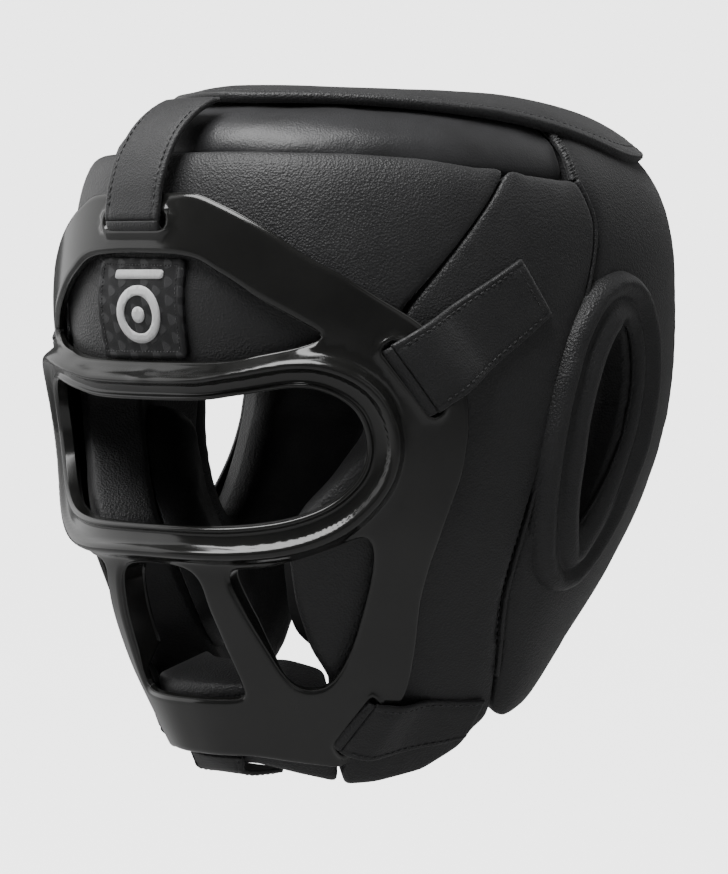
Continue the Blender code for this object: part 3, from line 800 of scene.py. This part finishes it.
CHIN = [(0, -125.6), (11, -126.4), (22, -130.5), (33.8, -134), (33.6, -98.5), (22.7, -93), (0, -91)]
CHEEK = [
    (27, -84), (24.6, -62), (25.2, -42), (34, -22), (46, 4), (58, 9), (63, 0), (63, -30), (60, -70), (42, -96),
]
FLAP = [
    (-58, -50), (-34, -74), (-13.5, -88), (13.5, -88), (34, -74), (58, -50), (76, -24), (90, 10), (95, 46),
    (82, 76), (56, 98), (28, 106), (-28, 106), (-56, 98), (-82, 76), (-95, 46), (-90, 10), (-76, -24),
]
GRILL_EDGE = [
    (0, 99), (12.4, 97.5), (19.2, 91), (26.1, 82.8), (31, 74.8), (37.9, 66.9), (43.9, 58.9), (51.9, 49), (57, 38),
    (61.6, 22), (62.2, 8), (61.3, -8), (58.2, -25), (55.7, -40), (54.1, -55), (54, -72.4), (53.3, -88.5),
    (50.4, -101.4), (41.6, -113.1), (34.4, -123.4), (23.7, -121), (13, -118), (0, -116.5),
]
BROW_WINDOW = [
    (0, 75.5), (9.7, 74.5), (17.5, 67.6), (24.2, 58.5), (31, 50.2), (34.4, 44.7), (31, 41.3), (24.2, 38.4),
    (14.6, 35.5), (0, 33.5),
]
VISOR = [
    (0, 19), (10.9, 20.1), (20.4, 22.8), (30, 26.1), (35.8, 23.8), (40.3, 16.9), (42.2, 6), (41.6, -4),
    (39, -12), (34.5, -19.1), (27.9, -24.2), (19.2, -27.3), (9, -28.5), (0, -28.5),
]
CHIN_WINDOW = [(0, -45), (8, -45), (11.2, -59.5), (13, -75.9), (14.3, -90), (12.3, -95), (0, -97)]
JAW_WINDOW = [
    (15.8, -45), (17.2, -57.3), (20.6, -74), (23.8, -86.5), (27.7, -91), (33.5, -88.5), (38.4, -76), (42, -55.9),
    (43.6, -40), (42.5, -30.5), (37, -33.5), (30, -38.5), (22.8, -42.6),
]
EAR_RING_TOP = (106.5, 58.0)
EAR_RING_LOW = (92.8, -48.0)
EAR_RING_WIDE = 26.0


def tight(corners, step, times=3):
    """A straight-sided outline with its corners slightly rounded, evenly stepped."""
    return soften(even_loop(straight_loop(corners, 1.0), step), times)


def ring_line(count):
    top = np.array([2.0 * EAR_RING_TOP[0], EAR_RING_TOP[1]])
    low = np.array([2.0 * EAR_RING_LOW[0], EAR_RING_LOW[1]])
    middle = (top + low) / 2.0
    half = (top - low) / 2.0
    across = np.array([half[1], -half[0]])
    across *= EAR_RING_WIDE / np.linalg.norm(across)
    t = 2 * math.pi * np.arange(count)[:, None] / count
    line = middle + half * np.cos(t) + across * np.sin(t) * (1.0 + 0.12 * np.cos(t))
    return even_loop(line, np.linalg.norm(line - np.roll(line, 1, axis=0), axis=1).sum() / count)


def panel_depth(place):
    """Cushions are thick round the sides and thin where they turn in over the crown."""
    return 22.0 - 14.0 * np.clip((place[:, 2] - 96.0) / 14.0, 0, 1)


def layers(name):
    return [name + "_cover", name + "_foam", name + "_lining"]


def build_cushions():
    step = 2.6  # between an outline's points
    cap = 0.0012
    slants = [open_line(arcs(SLANT), 3.0), open_line([(-x, z) for x, z in arcs(SLANT)], 3.0)]
    uprights = [open_line(arcs(SEAM), 3.0)]
    brow = tight(arcs(both_sides(BROW[1:-1])), step)
    shape = cushion_shape(
        side_map, [brow], lift=0.0, thick=PAD, radius=6.0, drop=3.4, crown=0.6, seed=1.0, tight_seams=slants
    )
    put("brow_cushion", shape, HIDE, "guard", layers("forehead"), cap)
    side = tight(arcs(SIDE), step)
    seams = slants[:1] + uprights
    shape = cushion_shape(
        side_map, [side], lift=0.0, thick=PAD, radius=5.5, drop=3.0, crown=0.6, seed=2.0, tight_seams=seams
    )
    put_pair("side_cushion", shape, HIDE, layers("side"), cap)
    ear = [tight(tall(EAR), step), inset(ring_line(72), 9.0)[::-1]]
    shape = cushion_shape(tall_map, ear, lift=-0.3, thick=panel_depth, radius=6.5, drop=3.0, crown=0.8, seed=3.0)
    put_pair("ear_cushion", shape, HIDE, layers("ear"), cap)
    rear = tight(tall(REAR_HALF), step)
    shape = cushion_shape(
        tall_map, [rear], lift=-0.2, thick=panel_depth, radius=5.5, drop=3.2, crown=1.0, seed=4.0
    )
    put_pair("rear_cushion", shape, HIDE, layers("rear") + ["crown_rear"], cap)
    chin = tight(arcs(both_sides(CHIN[1:-1])), step)
    shape = cushion_shape(side_map, [chin], lift=0.0, thick=PAD, radius=6.0, drop=3.4, crown=0.6, seed=5.0)
    put("chin_cushion", shape, HIDE, "guard", layers("chin"), cap)
    cheek = even_loop(smooth_loop(arcs(CHEEK), 3.0), step)

    def inner_under(flat, place):
        away = edge_distance(flat, [cheek])
        full = np.sqrt(1 - (1 - np.clip(away / 20.0, 0, 1)) ** 2)
        return -PAD - 2.2 - 17.0 * full - 0.6 * grain(place, 9.0, 9.0)

    rings = [(by, cheek) for by in (0.4, 1.2, 2.6, 4.4)]
    shape = sheet_solid(side_map, fill([cheek], rings, 4.2), level(-PAD - 1.4), inner_under)
    put_pair("cheek_cushion", shape, INNER_HIDE, ["cheek_pad"])


def crown_edge(turn, step):
    """A point (x, y) of the crown seen from above: step 0 is the cushions' top edge, step 1 the top cushion's."""
    z = np.interp(np.abs(turn), [0, 75, 95, 138, 180], [117.5, 110.5, 106, 103, 103])
    r = reach(turn, z)
    inner = reach(turn, np.full(np.shape(turn), 134.0))
    r = r + (inner - r) * step
    t = np.radians(turn)
    return np.stack([r * np.sin(t), -r * np.cos(t)], -1)


def crown_lift(flat):
    """How far the crown's front edge stands up where the strap pulls on it."""
    near = np.clip((116.0 + flat[:, 1]) / 20.0, 0, 1) * np.clip((-flat[:, 1] - 30.0) / 45.0, 0, 1)
    return 2.0 * near * np.exp(-((flat[:, 0] / 20.0) ** 2))


def build_crown():
    """The smooth band that rises out of a deep crease above the brow and runs in under the flap."""
    low = crown_edge(np.linspace(94.3, -94.3, 120), 0.0)
    high = crown_edge(np.linspace(-101.8, 101.8, 120), 1.04)
    loop = even_loop(np.concatenate([low, high]), 2.4)

    def band_top(flat, place):
        away = distance_to(flat, low, False)
        ends = edge_distance(flat, [loop])
        height = -7.4 + 5.6 * (1.0 - np.exp(-away / 5.5)) + 0.7 * crown_lift(flat)
        folds = 0.5 * grain(place * np.array([0.3, 0.3, 1.0]), 5.5, 21.0) + 0.35 * grain(place, 26.0, 5.0)
        return height + folds * np.clip(away / 7.0, 0, 1) - 0.8 * rounded(ends, 2.2)

    filled = fill([loop], [(by, loop) for by in (0.5, 1.3, 2.4)], 3.4)
    shape = sheet_solid(top_map, filled, band_top, level(-9.5))
    put("crown_roll", shape, SATIN_HIDE, "guard", ["crown_band"])
    pad = even_loop(inset(crown_edge(180.0 - 3.0 * np.arange(120), 1.0), 0.6), 2.8)
    shape = cushion_shape(
        top_map, [pad], lift=-2.4, thick=17.0, radius=4.0, drop=2.0, crown=0.2, seed=6.0, spacing=5.0
    )
    put("crown_cushion", shape, HIDE, "guard", layers("top"))


def build_flap():
    """The crown flap with its narrow bound edge and a row of thread inside it."""
    loop = even_loop(smooth_loop(FLAP, 3.0), 2.4)

    def over(flat, place):
        return 4.0 + 0.9 * crown_lift(flat) + 0.35 * grain(place, 22.0, 11.0)

    def top(flat, place):
        away = distance_to(flat, loop)
        return over(flat, place) - 0.9 * rounded(away, 2.6) - 0.45 * np.exp(-(((away - 4.4) / 0.8) ** 2))

    def under(flat, place):
        return -0.1 + 0.9 * crown_lift(flat)

    filled = fill([loop], [(by, loop) for by in (0.5, 1.3, 2.4, 3.7, 4.4, 5.1)], 5.0)
    shape = sheet_solid(top_map, filled, top, under)
    put("crown_flap", shape, HIDE, "top_flap", ["top_flap"])
    line = inset(loop, 0.9)
    place, normal = top_map(line)
    place = place + normal * (1.9 + 0.9 * crown_lift(line))[:, None]
    put("crown_flap_binding", sweep(place, normal, round_section(1.5, 2.2, 12)), STRAP_HIDE, "top_flap")
    line = inset(loop, 4.4)
    place, normal = top_map(line)
    place = place + normal * (over(line, place) - 0.35)[:, None]
    put("crown_flap_stitches", stitch_loop(place, normal), THREAD, "top_flap")


def build_ear_rings():
    """Two padded rolls round the ear opening, with a wall that goes down into it."""
    count = 150
    flat = ring_line(count)
    place, normal = side_map(flat)
    profile = [
        (12.6, -1.6), (12.9, 0.6), (12.4, 3.0), (11.0, 5.4), (9.0, 7.0), (6.6, 7.7), (4.2, 7.2), (2.3, 5.9),
        (0.9, 4.6), (0.0, 4.2), (-0.9, 4.7), (-2.2, 5.9), (-4.0, 6.8), (-6.0, 6.7), (-8.0, 5.2), (-9.6, 2.6),
        (-10.8, -1.0), (-11.6, -5.5), (-12.0, -12.0), (-12.2, -20.0), (-10.4, -20.6), (-10.0, -12.0),
        (-9.4, -5.0), (-6.0, -1.9), (0.0, -1.9), (7.0, -1.9),
    ]
    fine = smooth_loop(profile, 1.2)
    # The leather gathers in small creases at the ring's upper and lower ends.
    run = np.arange(count)
    turn = run / count * 2 * math.pi
    from_top = (turn + math.pi) % (2 * math.pi) - math.pi
    pinch = np.exp(-((from_top / 0.42) ** 2)) + np.exp(-(((turn - math.pi) / 0.42) ** 2))
    creases = (0.55 * pinch * np.sin(run * 1.9) + 0.25 * np.sin(run * 0.53))[:, None]
    # The outer roll is lower and slimmer towards the rear.
    rearward = np.clip((flat[:, :1] - flat[:, 0].mean()) / EAR_RING_WIDE, -1, 1)
    across = np.repeat(fine[None, :, 0], count, axis=0)
    high = np.repeat(fine[None, :, 1], count, axis=0)
    outer_side = np.clip(across / 3.0, 0, 1) * (high > -1)
    high *= 1.0 - outer_side * 0.55 * np.clip(rearward + 0.1, 0, 1)
    high -= 0.9 * (high > 0)
    across *= 1.0 - (across > 0) * 0.45 * np.clip(rearward, 0, 1)
    inner_side = np.clip(-across / 8.0, 0, 1) * (high > -4)
    high += inner_side * creases * 0.5
    across += inner_side * creases * 0.25
    verts, faces = sweep(place, normal, np.stack([across, high], -1))
    lumps = grain(verts, 11.0, 31.0) * 0.25
    verts = verts + unit(verts - np.repeat(place, len(fine), axis=0)) * lumps[:, None]
    put_pair("ear_roll", (verts, faces), RING_HIDE, ["ear_ring", "ear_bore_trim"])


def seam_stitches(name, corners, height):
    place, normal = side_map(open_line(arcs(corners), 2.0))
    put_pair(name, stitch_row(place + normal * height, normal, pitch=3.4), THREAD)


def build_seams():
    place, normal = side_map(open_line(arcs(SEAM[:-1]), 2.2))
    piping = sweep(place + normal * -0.7, normal, round_section(1.0, 1.5, 10), closed=False)
    put_pair("upright_piping", piping, STRAP_HIDE, ["seam_piping"])
    flat = open_line(tall(CROWN_SEAM[:-1]), 1.5)
    place, normal = tall_map(flat)
    place = place + normal * np.interp(flat[:, 1], [104, 118], [-2.6, -1.2])[:, None]
    put_pair("crown_seam_cord", sweep(place, normal, round_section(1.5, 1.6, 12), closed=False), STRAP_HIDE)
    ahead = unit(np.gradient(place, axis=0))
    wraps = []
    run = along_from_start(place)
    lean = np.linspace(-1.0, 1.0, 9)[:, None]
    for at in np.arange(1.0, run[-1] - 1.0, 2.0):
        k = int(np.argmin(np.abs(run - at)))
        across = np.cross(ahead[k], normal[k]) * np.sin(lean * 1.15)
        up = normal[k] * np.cos(lean * 1.15)
        wrap = place[k] + across * 1.8 + up * 1.75 + ahead[k] * lean
        wraps.append(stitch_row(wrap, across + up, pitch=4.4, length=3.6, radius=0.34))
    put_pair("crown_seam_thread", joined(wraps), THREAD)
    seam_stitches("slant_thread", [(turn - 1.0, z) for turn, z in SLANT[1:]], -0.32)
    seam_stitches("upright_thread", [(turn - 1.6, z) for turn, z in SEAM[1:-1]], -0.1)


# ---- grill ----


RIM = soft_curve(
    [
        (-4, 2.5), (0.0, 2.5), (1.2, 3.3), (2.2, 2.0), (3.0, 1.7), (6.0, 2.9), (6.8, 3.4), (7.6, 5.4), (8.8, 6.4),
        (10.2, 6.2), (11.6, 4.4), (12.6, 2.2), (14.0, 0.7), (16.5, 0.0), (30, 0.0),
    ],
    np.arange(-4.0, 30.0, 0.05),
    0.42,
    60,
)


def rim_profile(away):
    """Rise of the visor rim by distance from its opening: inner lip, flat band, rounded outer bead, fillet."""
    return np.interp(away, *RIM)


def slot_box(middle, towards, wide):
    long = np.array([2.0 * towards[0], towards[1]])
    across = np.array([-long[1], long[0]]) * wide / 2.0 / np.linalg.norm(long)
    centre = np.array([2.0 * middle[0], middle[1]])
    near, far = centre - long, centre + long
    return np.array([near - across, far - across, far + across, near + across])


def build_grill():
    step = 1.5
    edge = tight(arcs(both_sides(GRILL_EDGE[1:-1])), step, 10)
    brow = even_loop(smooth_loop(arcs(both_sides(BROW_WINDOW[1:-1])), 2.0), step)
    visor = even_loop(smooth_loop(arcs(both_sides(VISOR[1:-1])), 2.0), step)
    chin = soften(even_loop(smooth_loop(arcs(both_sides(CHIN_WINDOW[1:-1])), 2.0), step), 6)
    jaw = soften(even_loop(smooth_loop(arcs(JAW_WINDOW), 2.0), step), 6)
    other_jaw = jaw * np.array([-1.0, 1.0])
    slots = [tight(slot_box((0, 87.0), (6.8, 0), 5.0), step, 1)]
    for middle, towards in (((50.5, 28.6), (4.7, -12.4)), ((38.9, -104.9), (-5.1, -9.7))):
        loop = tight(slot_box(middle, towards, 5.0), step, 1)
        slots += [loop, loop * np.array([-1.0, 1.0])]
    windows = [brow, visor, chin, jaw, other_jaw]
    loops = [edge] + windows + slots
    rings = [(by if loop is edge else -by, loop) for loop in loops for by in (0.35, 0.9, 1.7, 2.6)]
    rings += [(-by, visor) for by in (2.6, 3.4, 4.4, 5.4)]

    def base(flat):
        """Height of the plain bars, lower beside the temples."""
        return GRILL_LIFT - 2.0 * np.clip((flat[:, 0] ** 2 / 4.0 - 52.0**2) / (62.0**2 - 52.0**2), 0, 1)

    def top(flat, place):
        away_visor = distance_to(flat, visor)
        others = edge_distance(flat, [edge, brow, chin, jaw, other_jaw])
        high = base(flat) + rim_profile(away_visor) - 1.7 * rounded(others, 2.4) - 0.8 * rounded(away_visor, 0.9)
        slot_away = edge_distance(flat, slots)
        high = high + 1.1 * np.exp(-(((slot_away - 1.8) / 1.3) ** 2)) - 0.8 * rounded(slot_away, 1.2)
        nub = np.exp(-((flat[:, 0] / 5.0) ** 2 + ((flat[:, 1] - 30.5) / 3.0) ** 2))
        return high + 0.9 * nub

    def under(flat, place):
        low = base(flat) - 4.6 + 0.4 * rim_profile(distance_to(flat, visor))
        middle = np.clip((24.0 - np.abs(flat[:, 0]) / 2.0) / 5.0, 0, 1)
        upright = np.clip((flat[:, 1] + 87.0) / 7.0, 0, 1) * np.clip((-32.0 - flat[:, 1]) / 7.0, 0, 1)
        return low + 0.8 * rounded(edge_distance(flat, loops), 1.2) - BAR_DEEP * middle * upright

    filled = fill(loops, rings, 3.0, (visor, 5.8, 15.2, 1.15))
    obj = mesh_object("grill_moulding", *sheet_solid(side_map, filled, top, under), PLASTIC)
    shade_true(obj, side_map, filled[0], top, under)
    settle(obj, "grill", ["face_grill"])


# ---- straps ----

OVER = GRILL_LIFT + 0.9
TEMPLE_ROWS = [
    (46.1, 41.3, 55.0, 16.3, OVER), (48.5, 44.0, 57.5, 19.9, OVER), (51.5, 47.6, 60.5, 23.7, OVER - 0.2),
    (54.4, 51.0, 63.3, 27.5, 5.4), (57.1, 54.2, 66.2, 31.2, 2.4), (60.6, 58.3, 69.8, 36.0, 1.2),
    (67.3, 65.8, 75.8, 44.0, 1.2), (73.9, 73.2, 81.5, 51.8, 1.2),
]
JAW_ROWS = [
    (44.1, -95.3, 33.7, -114.6, OVER), (47.1, -95.9, 36.8, -116.8, OVER), (51.3, -96.5, 41.8, -118.5, OVER),
    (55.2, -97.1, 47.1, -118.9, 5.4), (58.9, -97.6, 52.7, -118.8, 2.6), (64.2, -98.3, 59.2, -118.1, 1.2),
    (71.7, -99.2, 67.9, -116.6, 1.2), (79.0, -99.6, 75.8, -114.7, 1.2),
]
FRONT_ROWS = [
    (-6.3, 87.0, 6.3, 87.0, OVER), (-6.3, 93.5, 6.3, 93.5, OVER), (-6.3, 99.5, 6.3, 99.5, OVER),
    (-6.4, 105.5, 6.4, 105.5, 7.3), (-6.5, 112.0, 6.5, 112.0, 6.6), (-6.7, 118.5, 6.7, 118.5, 5.8),
    (-6.9, 123.5, 6.9, 123.5, 5.1), (-7.3, 127.5, 7.3, 127.5, 4.5), (-7.7, 130.3, 7.7, 130.3, 4.1),
]
REAR_ROWS = [
    (156, 20, 156, 58, 0.8), (164, 20, 164, 58, 1.0), (172, 20, 172, 58, 1.8), (180, 20, 180, 58, 2.8),
    (188, 20, 188, 58, 3.2), (196, 20, 196, 58, 3.2), (204, 20, 204, 58, 3.2),
]


def across_rows(line, columns):
    """Places and normals at shares across each row (left turn, left height, right turn, right height, lift)."""
    share = np.array(columns)[None, :]
    turn = line[:, 0:1] * (1 - share) + line[:, 2:3] * share
    z = line[:, 1:2] * (1 - share) + line[:, 3:4] * share
    place, normal = side_map(np.stack([2.0 * turn, z], -1).reshape(-1, 2))
    place = place + normal * np.repeat(line[:, 4], share.shape[1])[:, None]
    shape = (len(line), share.shape[1], 3)
    return place.reshape(shape), normal.reshape(shape)


def strap_grid(rows, columns, step=1.6):
    """Places and normals of a strap's under face, rows along it and the given shares across it."""
    line = open_line(rows, step, 2, lambda way: np.hypot(way[0] + way[2], (way[1] + way[3]) / 2.0))
    return across_rows(line, columns)


def grid_solid(under, over):
    """A closed strip between two grids of places."""
    n, m = under.shape[:2]
    verts = np.concatenate([over.reshape(-1, 3), under.reshape(-1, 3)])
    base = n * m
    faces = []
    for i in range(n - 1):
        for j in range(m - 1):
            a = i * m + j
            faces.append((a, a + 1, a + m + 1, a + m))
            faces.append((base + a + m, base + a + m + 1, base + a + 1, base + a))
        left = i * m
        right = left + m - 1
        faces.append((left + m, left + m + base, left + base, left))
        faces.append((right, right + base, right + m + base, right + m))
    for j in range(m - 1):
        end = base - m + j
        faces.append((j, j + base, j + 1 + base, j + 1))
        faces.append((end + 1, end + 1 + base, end + base, end))
    return verts, outward(verts, faces)


ACROSS = [0.0, 0.012, 0.03, 0.055, 0.075, 0.09, 0.11, 0.15, 0.25, 0.37, 0.5]
ACROSS = ACROSS + [1 - a for a in reversed(ACROSS[:-1])]
SEAM_IN = 3.2  # from a strap's end to the thread across it


def strap_section(wide, thick):
    """Distance from the nearer edge and height at the shares ACROSS: rolled edges and grooves for thread."""
    share = np.array(ACROSS)
    from_edge = np.minimum(share, 1 - share) * wide
    groove = 0.32 * np.exp(-(((from_edge - 2.1) / 0.55) ** 2))
    return from_edge, thick - 0.75 * rounded(from_edge, 1.3) - groove


def strap_shape(rows, wide, seed, end_seam):
    """A stitched leather strap: rolled edges, a groove under each row of thread, a soft middle."""
    under, normal = strap_grid(rows, ACROSS)
    from_edge, lift = strap_section(wide, STRAP)
    run = along_from_start(under[:, len(ACROSS) // 2])
    from_end = np.minimum(run, run[-1] - run)
    lift = lift[None] - 0.7 * rounded(from_end, 1.4)[:, None]
    if end_seam:
        lift -= 0.3 * np.exp(-(((run[-1] - run - SEAM_IN) / 0.6) ** 2))[:, None]
    lift += 0.22 * grain(under.reshape(-1, 3), 9.0, seed).reshape(lift.shape)
    floor = under + normal * (0.35 * rounded(from_edge, 1.0))[None, :, None]
    lines = []
    for share in (0.082, 0.918):
        place, out = strap_grid(rows, [share])
        lines.append((place[3:-3, 0], out[3:-3, 0]))
    if end_seam:
        place, out = strap_grid(rows, np.linspace(0.1, 0.9, 16))
        at = int(np.argmin(np.abs(run - (run[-1] - SEAM_IN))))
        lines.append((place[at], out[at]))
    thread = joined([stitch_row(place + out * (STRAP - 0.1), out, pitch=3.0) for place, out in lines])
    return grid_solid(floor, under + normal * lift[..., None]), thread


def fold_shape(rows):
    """The strap's turn into the slot: a rolled end that goes down through the grill."""
    back = 2.6  # radius of the turn
    first, second = np.array(rows[0], float), np.array(rows[1], float)
    step = first - second
    step[4] = 0.0
    step /= np.hypot(step[0] + step[2], (step[1] + step[3]) / 2.0)
    line = []
    for k in range(12):
        bend = min(k / 7.0, 1.0) * math.pi / 2
        row = first + step * (back * math.sin(bend) + 0.1)
        row[4] = first[4] - back * (1 - math.cos(bend)) - 0.7 * max(k - 7, 0)
        line.append(row)
    place, normal = across_rows(np.array(line), [0.02, 0.06, 0.2, 0.4, 0.6, 0.8, 0.94, 0.98])
    out = np.cross(unit(np.gradient(place, axis=0)), unit(np.gradient(place, axis=1)))
    out *= np.sign((out[0] * normal[0]).sum())
    thick = 2.0 - 0.5 * np.array([1, 0.5, 0, 0, 0, 0, 0.5, 1])[None, :, None]
    return grid_solid(place, place + out * thick)


def build_chin_strap():
    """The leather strap that comes out below the grill and turns back under the chin."""
    columns = np.array(ACROSS)
    wide = 25.4
    front = np.array([(-8.6, -120.7, 8.6, -120.7, 0.9), (-8.7, -123.6, 8.7, -123.6, 0.9)])
    rows, outs = (list(part) for part in across_rows(front, columns))
    for y, z, lean in ((-84.6, -126.6, 0.7), (-78.0, -128.0, 0.2), (-70.0, -128.4, 0.0), (-62.0, -128.4, 0.0)):
        rows.append(np.stack([(columns - 0.5) * wide, np.full(len(columns), y), np.full(len(columns), z)], -1))
        outs.append(np.repeat(unit(np.array([[0.0, -lean, -1.0]])), len(columns), axis=0))

    def finer(grid):
        """The grid with more rows, read between the few that were given."""
        grid = np.array(grid)
        at = np.linspace(0, len(grid) - 1, 26)
        columns_of = [read_at(at, np.arange(len(grid)), grid[:, j]).T for j in range(grid.shape[1])]
        return np.stack(columns_of, 1)

    rows = finer(rows)
    outs = unit(finer(outs))
    for _ in range(3):
        rows[1:-1] = 0.25 * rows[:-2] + 0.5 * rows[1:-1] + 0.25 * rows[2:]
    _, lift = strap_section(wide, 2.2)
    wave = 0.2 * grain(rows.reshape(-1, 3), 9.0, 61.0).reshape(rows.shape[:2])
    over = rows + outs * (lift[None, :] + wave)[..., None]
    put("chin_strap_leather", grid_solid(rows, over), STRAP_HIDE, "chin_strap", ["chin_strap"])
    threads = [stitch_row(over[1:-1, j] - outs[1:-1, j] * 0.02, outs[1:-1, j], pitch=3.0) for j in (3, -4)]
    put("chin_strap_thread", joined(threads), THREAD, "chin_strap")


def build_straps():
    kinds = (
        ("front_strap", FRONT_ROWS, 25.4, 41.0, False, False),
        ("temple_strap", TEMPLE_ROWS, 26.4, 42.0, True, True),
        ("jaw_strap", JAW_ROWS, 20.0, 43.0, True, False),
    )
    for name, rows, wide, seed, pair, seam in kinds:
        strap, thread = strap_shape(rows, wide, seed, seam)
        for (side, leather_shape), (_, thread_shape) in zip(sides(strap, pair), sides(thread, pair)):
            body = name + side
            put(body + "_leather", leather_shape, STRAP_HIDE, body, [body])
            put(body + "_thread", thread_shape, THREAD, body)
    for name, rows, _, _, pair, _ in kinds:
        for side, shape in sides(fold_shape(rows), pair):
            put(name + "_turn" + side, shape, STRAP_HIDE, "grill")
    build_chin_strap()
    strap, thread = strap_shape(REAR_ROWS, 38.0, 44.0, True)
    put("rear_strap_leather", strap, STRAP_HIDE, "rear_strap", ["rear_strap"])
    put("rear_strap_thread", thread, THREAD, "rear_strap")


def patch_loop(corners, step, times):
    return soften(even_loop(straight_loop(corners, 1.0), step), times)


def build_label():
    """A woven patch with a row of thread round it, a plain bar and a ring with a dot."""
    loop = patch_loop(arcs([(-14.2, 35.2), (8.4, 35.8), (10.1, 73.4), (-10.5, 74)]), 1.2, 5)

    def top(flat, place):
        away = distance_to(flat, loop)
        return 2.4 - 0.25 * rounded(away, 1.0) + 0.35 * np.exp(-(((away - 1.6) / 1.0) ** 2))

    filled = fill([loop], [(by, loop) for by in (0.4, 0.9, 1.6, 2.3, 3.2)], 2.4)
    put("label_patch", sheet_solid(side_map, filled, top, level(0.6)), LABEL, "guard", ["forehead_label"])
    place, normal = side_map(inset(loop, 2.9))
    thread = stitch_loop(place + normal * 2.52, normal, pitch=1.7, length=1.3, radius=0.22)
    put("label_thread", thread, THREAD)
    corner = np.array([-28.4, 35.2])
    wide = np.array([45.2, 0.6])
    tall_way = np.array([7.4, 38.8])
    taper = np.array([4.2, 0.4])

    def on_label(points):
        """Points given in label units, 0 to 1 across and up, as flat points."""
        return np.array([corner + wide * u + tall_way * v - taper * u * v for u, v in points])

    def ellipse(radius, parts):
        turns = np.arange(parts) * 2 * math.pi / parts
        return on_label([(0.52 + radius * math.cos(t), 0.44 + 1.12 * radius * math.sin(t)) for t in turns])

    bar = patch_loop(on_label([(0.24, 0.78), (0.8, 0.78), (0.8, 0.87), (0.24, 0.87)]), 0.8, 3)
    marks = ([ellipse(0.25, 60), ellipse(0.165, 48)[::-1]], [ellipse(0.07, 24)], [bar])
    shapes = [sheet_solid(side_map, fill(loops, [], 1.3), level(2.8), level(2.0)) for loops in marks]
    put("label_mark", joined(shapes), WHITE_THREAD)


def tape_shape(corners, high, low):
    loop = patch_loop(arcs(corners), 1.5, 2)

    def top(flat, place):
        return high - 0.3 * rounded(distance_to(flat, loop), 0.9) + 0.12 * grain(place, 1.4, 3.0)

    return sheet_solid(side_map, fill([loop], [(by, loop) for by in (0.4, 1.0)], 3.0), top, level(low))


def build_tapes():
    hook = tape_shape([(51, 43.5), (56, 50.5), (60, 46.5), (55, 39.5)], 0.7, -0.4)
    put_pair("temple_tape", hook, TAPE, ["temple_hook_tape"])
    loops = tape_shape([(150, 20), (174, 20), (174, 58), (150, 58)], 2.2, 0.6)
    put("nape_tape", mirrored(*loops), DARK_TAPE, "guard", ["rear_loop_tape"])


# ---- stage, light and camera ----


def plain_stage():
    """A wide bowl of pale paper: a floor that curves up into a wall well beyond every camera."""
    material, tree, shader = new_material("studio white", 1.0)
    cloud = noise_node(tree, 2.0, 2.0, place_vector(tree))
    # The eye sees the paper bright, but it throws little light on the object.
    seen = tree.nodes.new("ShaderNodeLightPath").outputs["Is Camera Ray"]
    looks = {
        "Base Color": colour_between(tree, cloud, (0.290, 0.290, 0.290), (0.302, 0.302, 0.302)),
        "Emission Color": (1, 1, 1, 1),
        "Emission Strength": ramp(tree, seen, 0.0, 1.0, 0.08, 3.4),
    }
    set_inputs(tree, shader, looks)
    profile = [(0.02, -0.32), (1.0, -0.32), (4.0, -0.32), (5.2, -0.1), (6.0, 0.6), (6.4, 1.8), (6.5, 6.5)]
    parts = 48
    turns = np.arange(parts) * 2 * math.pi / parts
    verts = np.array([(far * math.cos(t), far * math.sin(t), high) for far, high in profile for t in turns]) / MM
    faces = []
    for i in range(len(profile) - 1):
        for k in range(parts):
            nxt = (k + 1) % parts
            faces.append((i * parts + k, i * parts + nxt, (i + 1) * parts + nxt, (i + 1) * parts + k))
    faces.append(tuple(range(parts)))
    mesh_object("backdrop", verts, faces, material)


def aim(obj, turn, lift, far):
    """Puts a light or the camera at an azimuth and height about the object and turns it to face it."""
    t = math.radians(turn)
    e = math.radians(lift)
    away = Vector((math.sin(t) * math.cos(e), -math.cos(t) * math.cos(e), math.sin(e)))
    bpy.context.scene.collection.objects.link(obj)
    obj.location = away * far
    obj.rotation_mode = "QUATERNION"
    obj.rotation_quaternion = (-away).to_track_quat("-Z", "Y")


def panel(name, turn, lift, wide, tall_side, glow):
    """A soft panel of light; glow is its brightness."""
    data = bpy.data.lights.new(name, "AREA")
    data.shape = "RECTANGLE"
    data.size = wide
    data.size_y = tall_side
    data.energy = math.pi * wide * tall_side * glow
    aim(bpy.data.objects.new(name, data), turn, lift, STAND_OFF)


def studio():
    world = bpy.data.worlds.new("studio")
    bpy.context.scene.world = world
    world.use_nodes = True
    sky = world.node_tree.nodes["Background"]
    set_inputs(world.node_tree, sky, {"Color": (0.95, 0.97, 0.95, 1), "Strength": 0.1})
    panel("key panel", -68.0, 12.0, 2.2, 2.0, 1.1)
    panel("side panel", 92.0, 20.0, 0.7, 1.2, 0.3)
    panel("top panel", -4.0, 66.0, 1.1, 1.1, 10.0)
    panel("rear panel", 150.0, 40.0, 0.8, 0.8, 0.5)


def camera():
    data = bpy.data.cameras.new("camera")
    obj = bpy.data.objects.new("camera", data)
    aim(obj, 42.0, 3.0, STAND_OFF)
    data.sensor_width = 36.0
    data.sensor_fit = "AUTO"
    data.lens = data.sensor_width * STAND_OFF / PICTURE_HIGH
    data.clip_start = 0.05
    data.clip_end = 20.0
    bpy.context.scene.camera = obj


build_cushions()
build_crown()
build_flap()
build_ear_rings()
build_seams()
build_grill()
build_straps()
build_label()
build_tapes()
plain_stage()
studio()
camera()
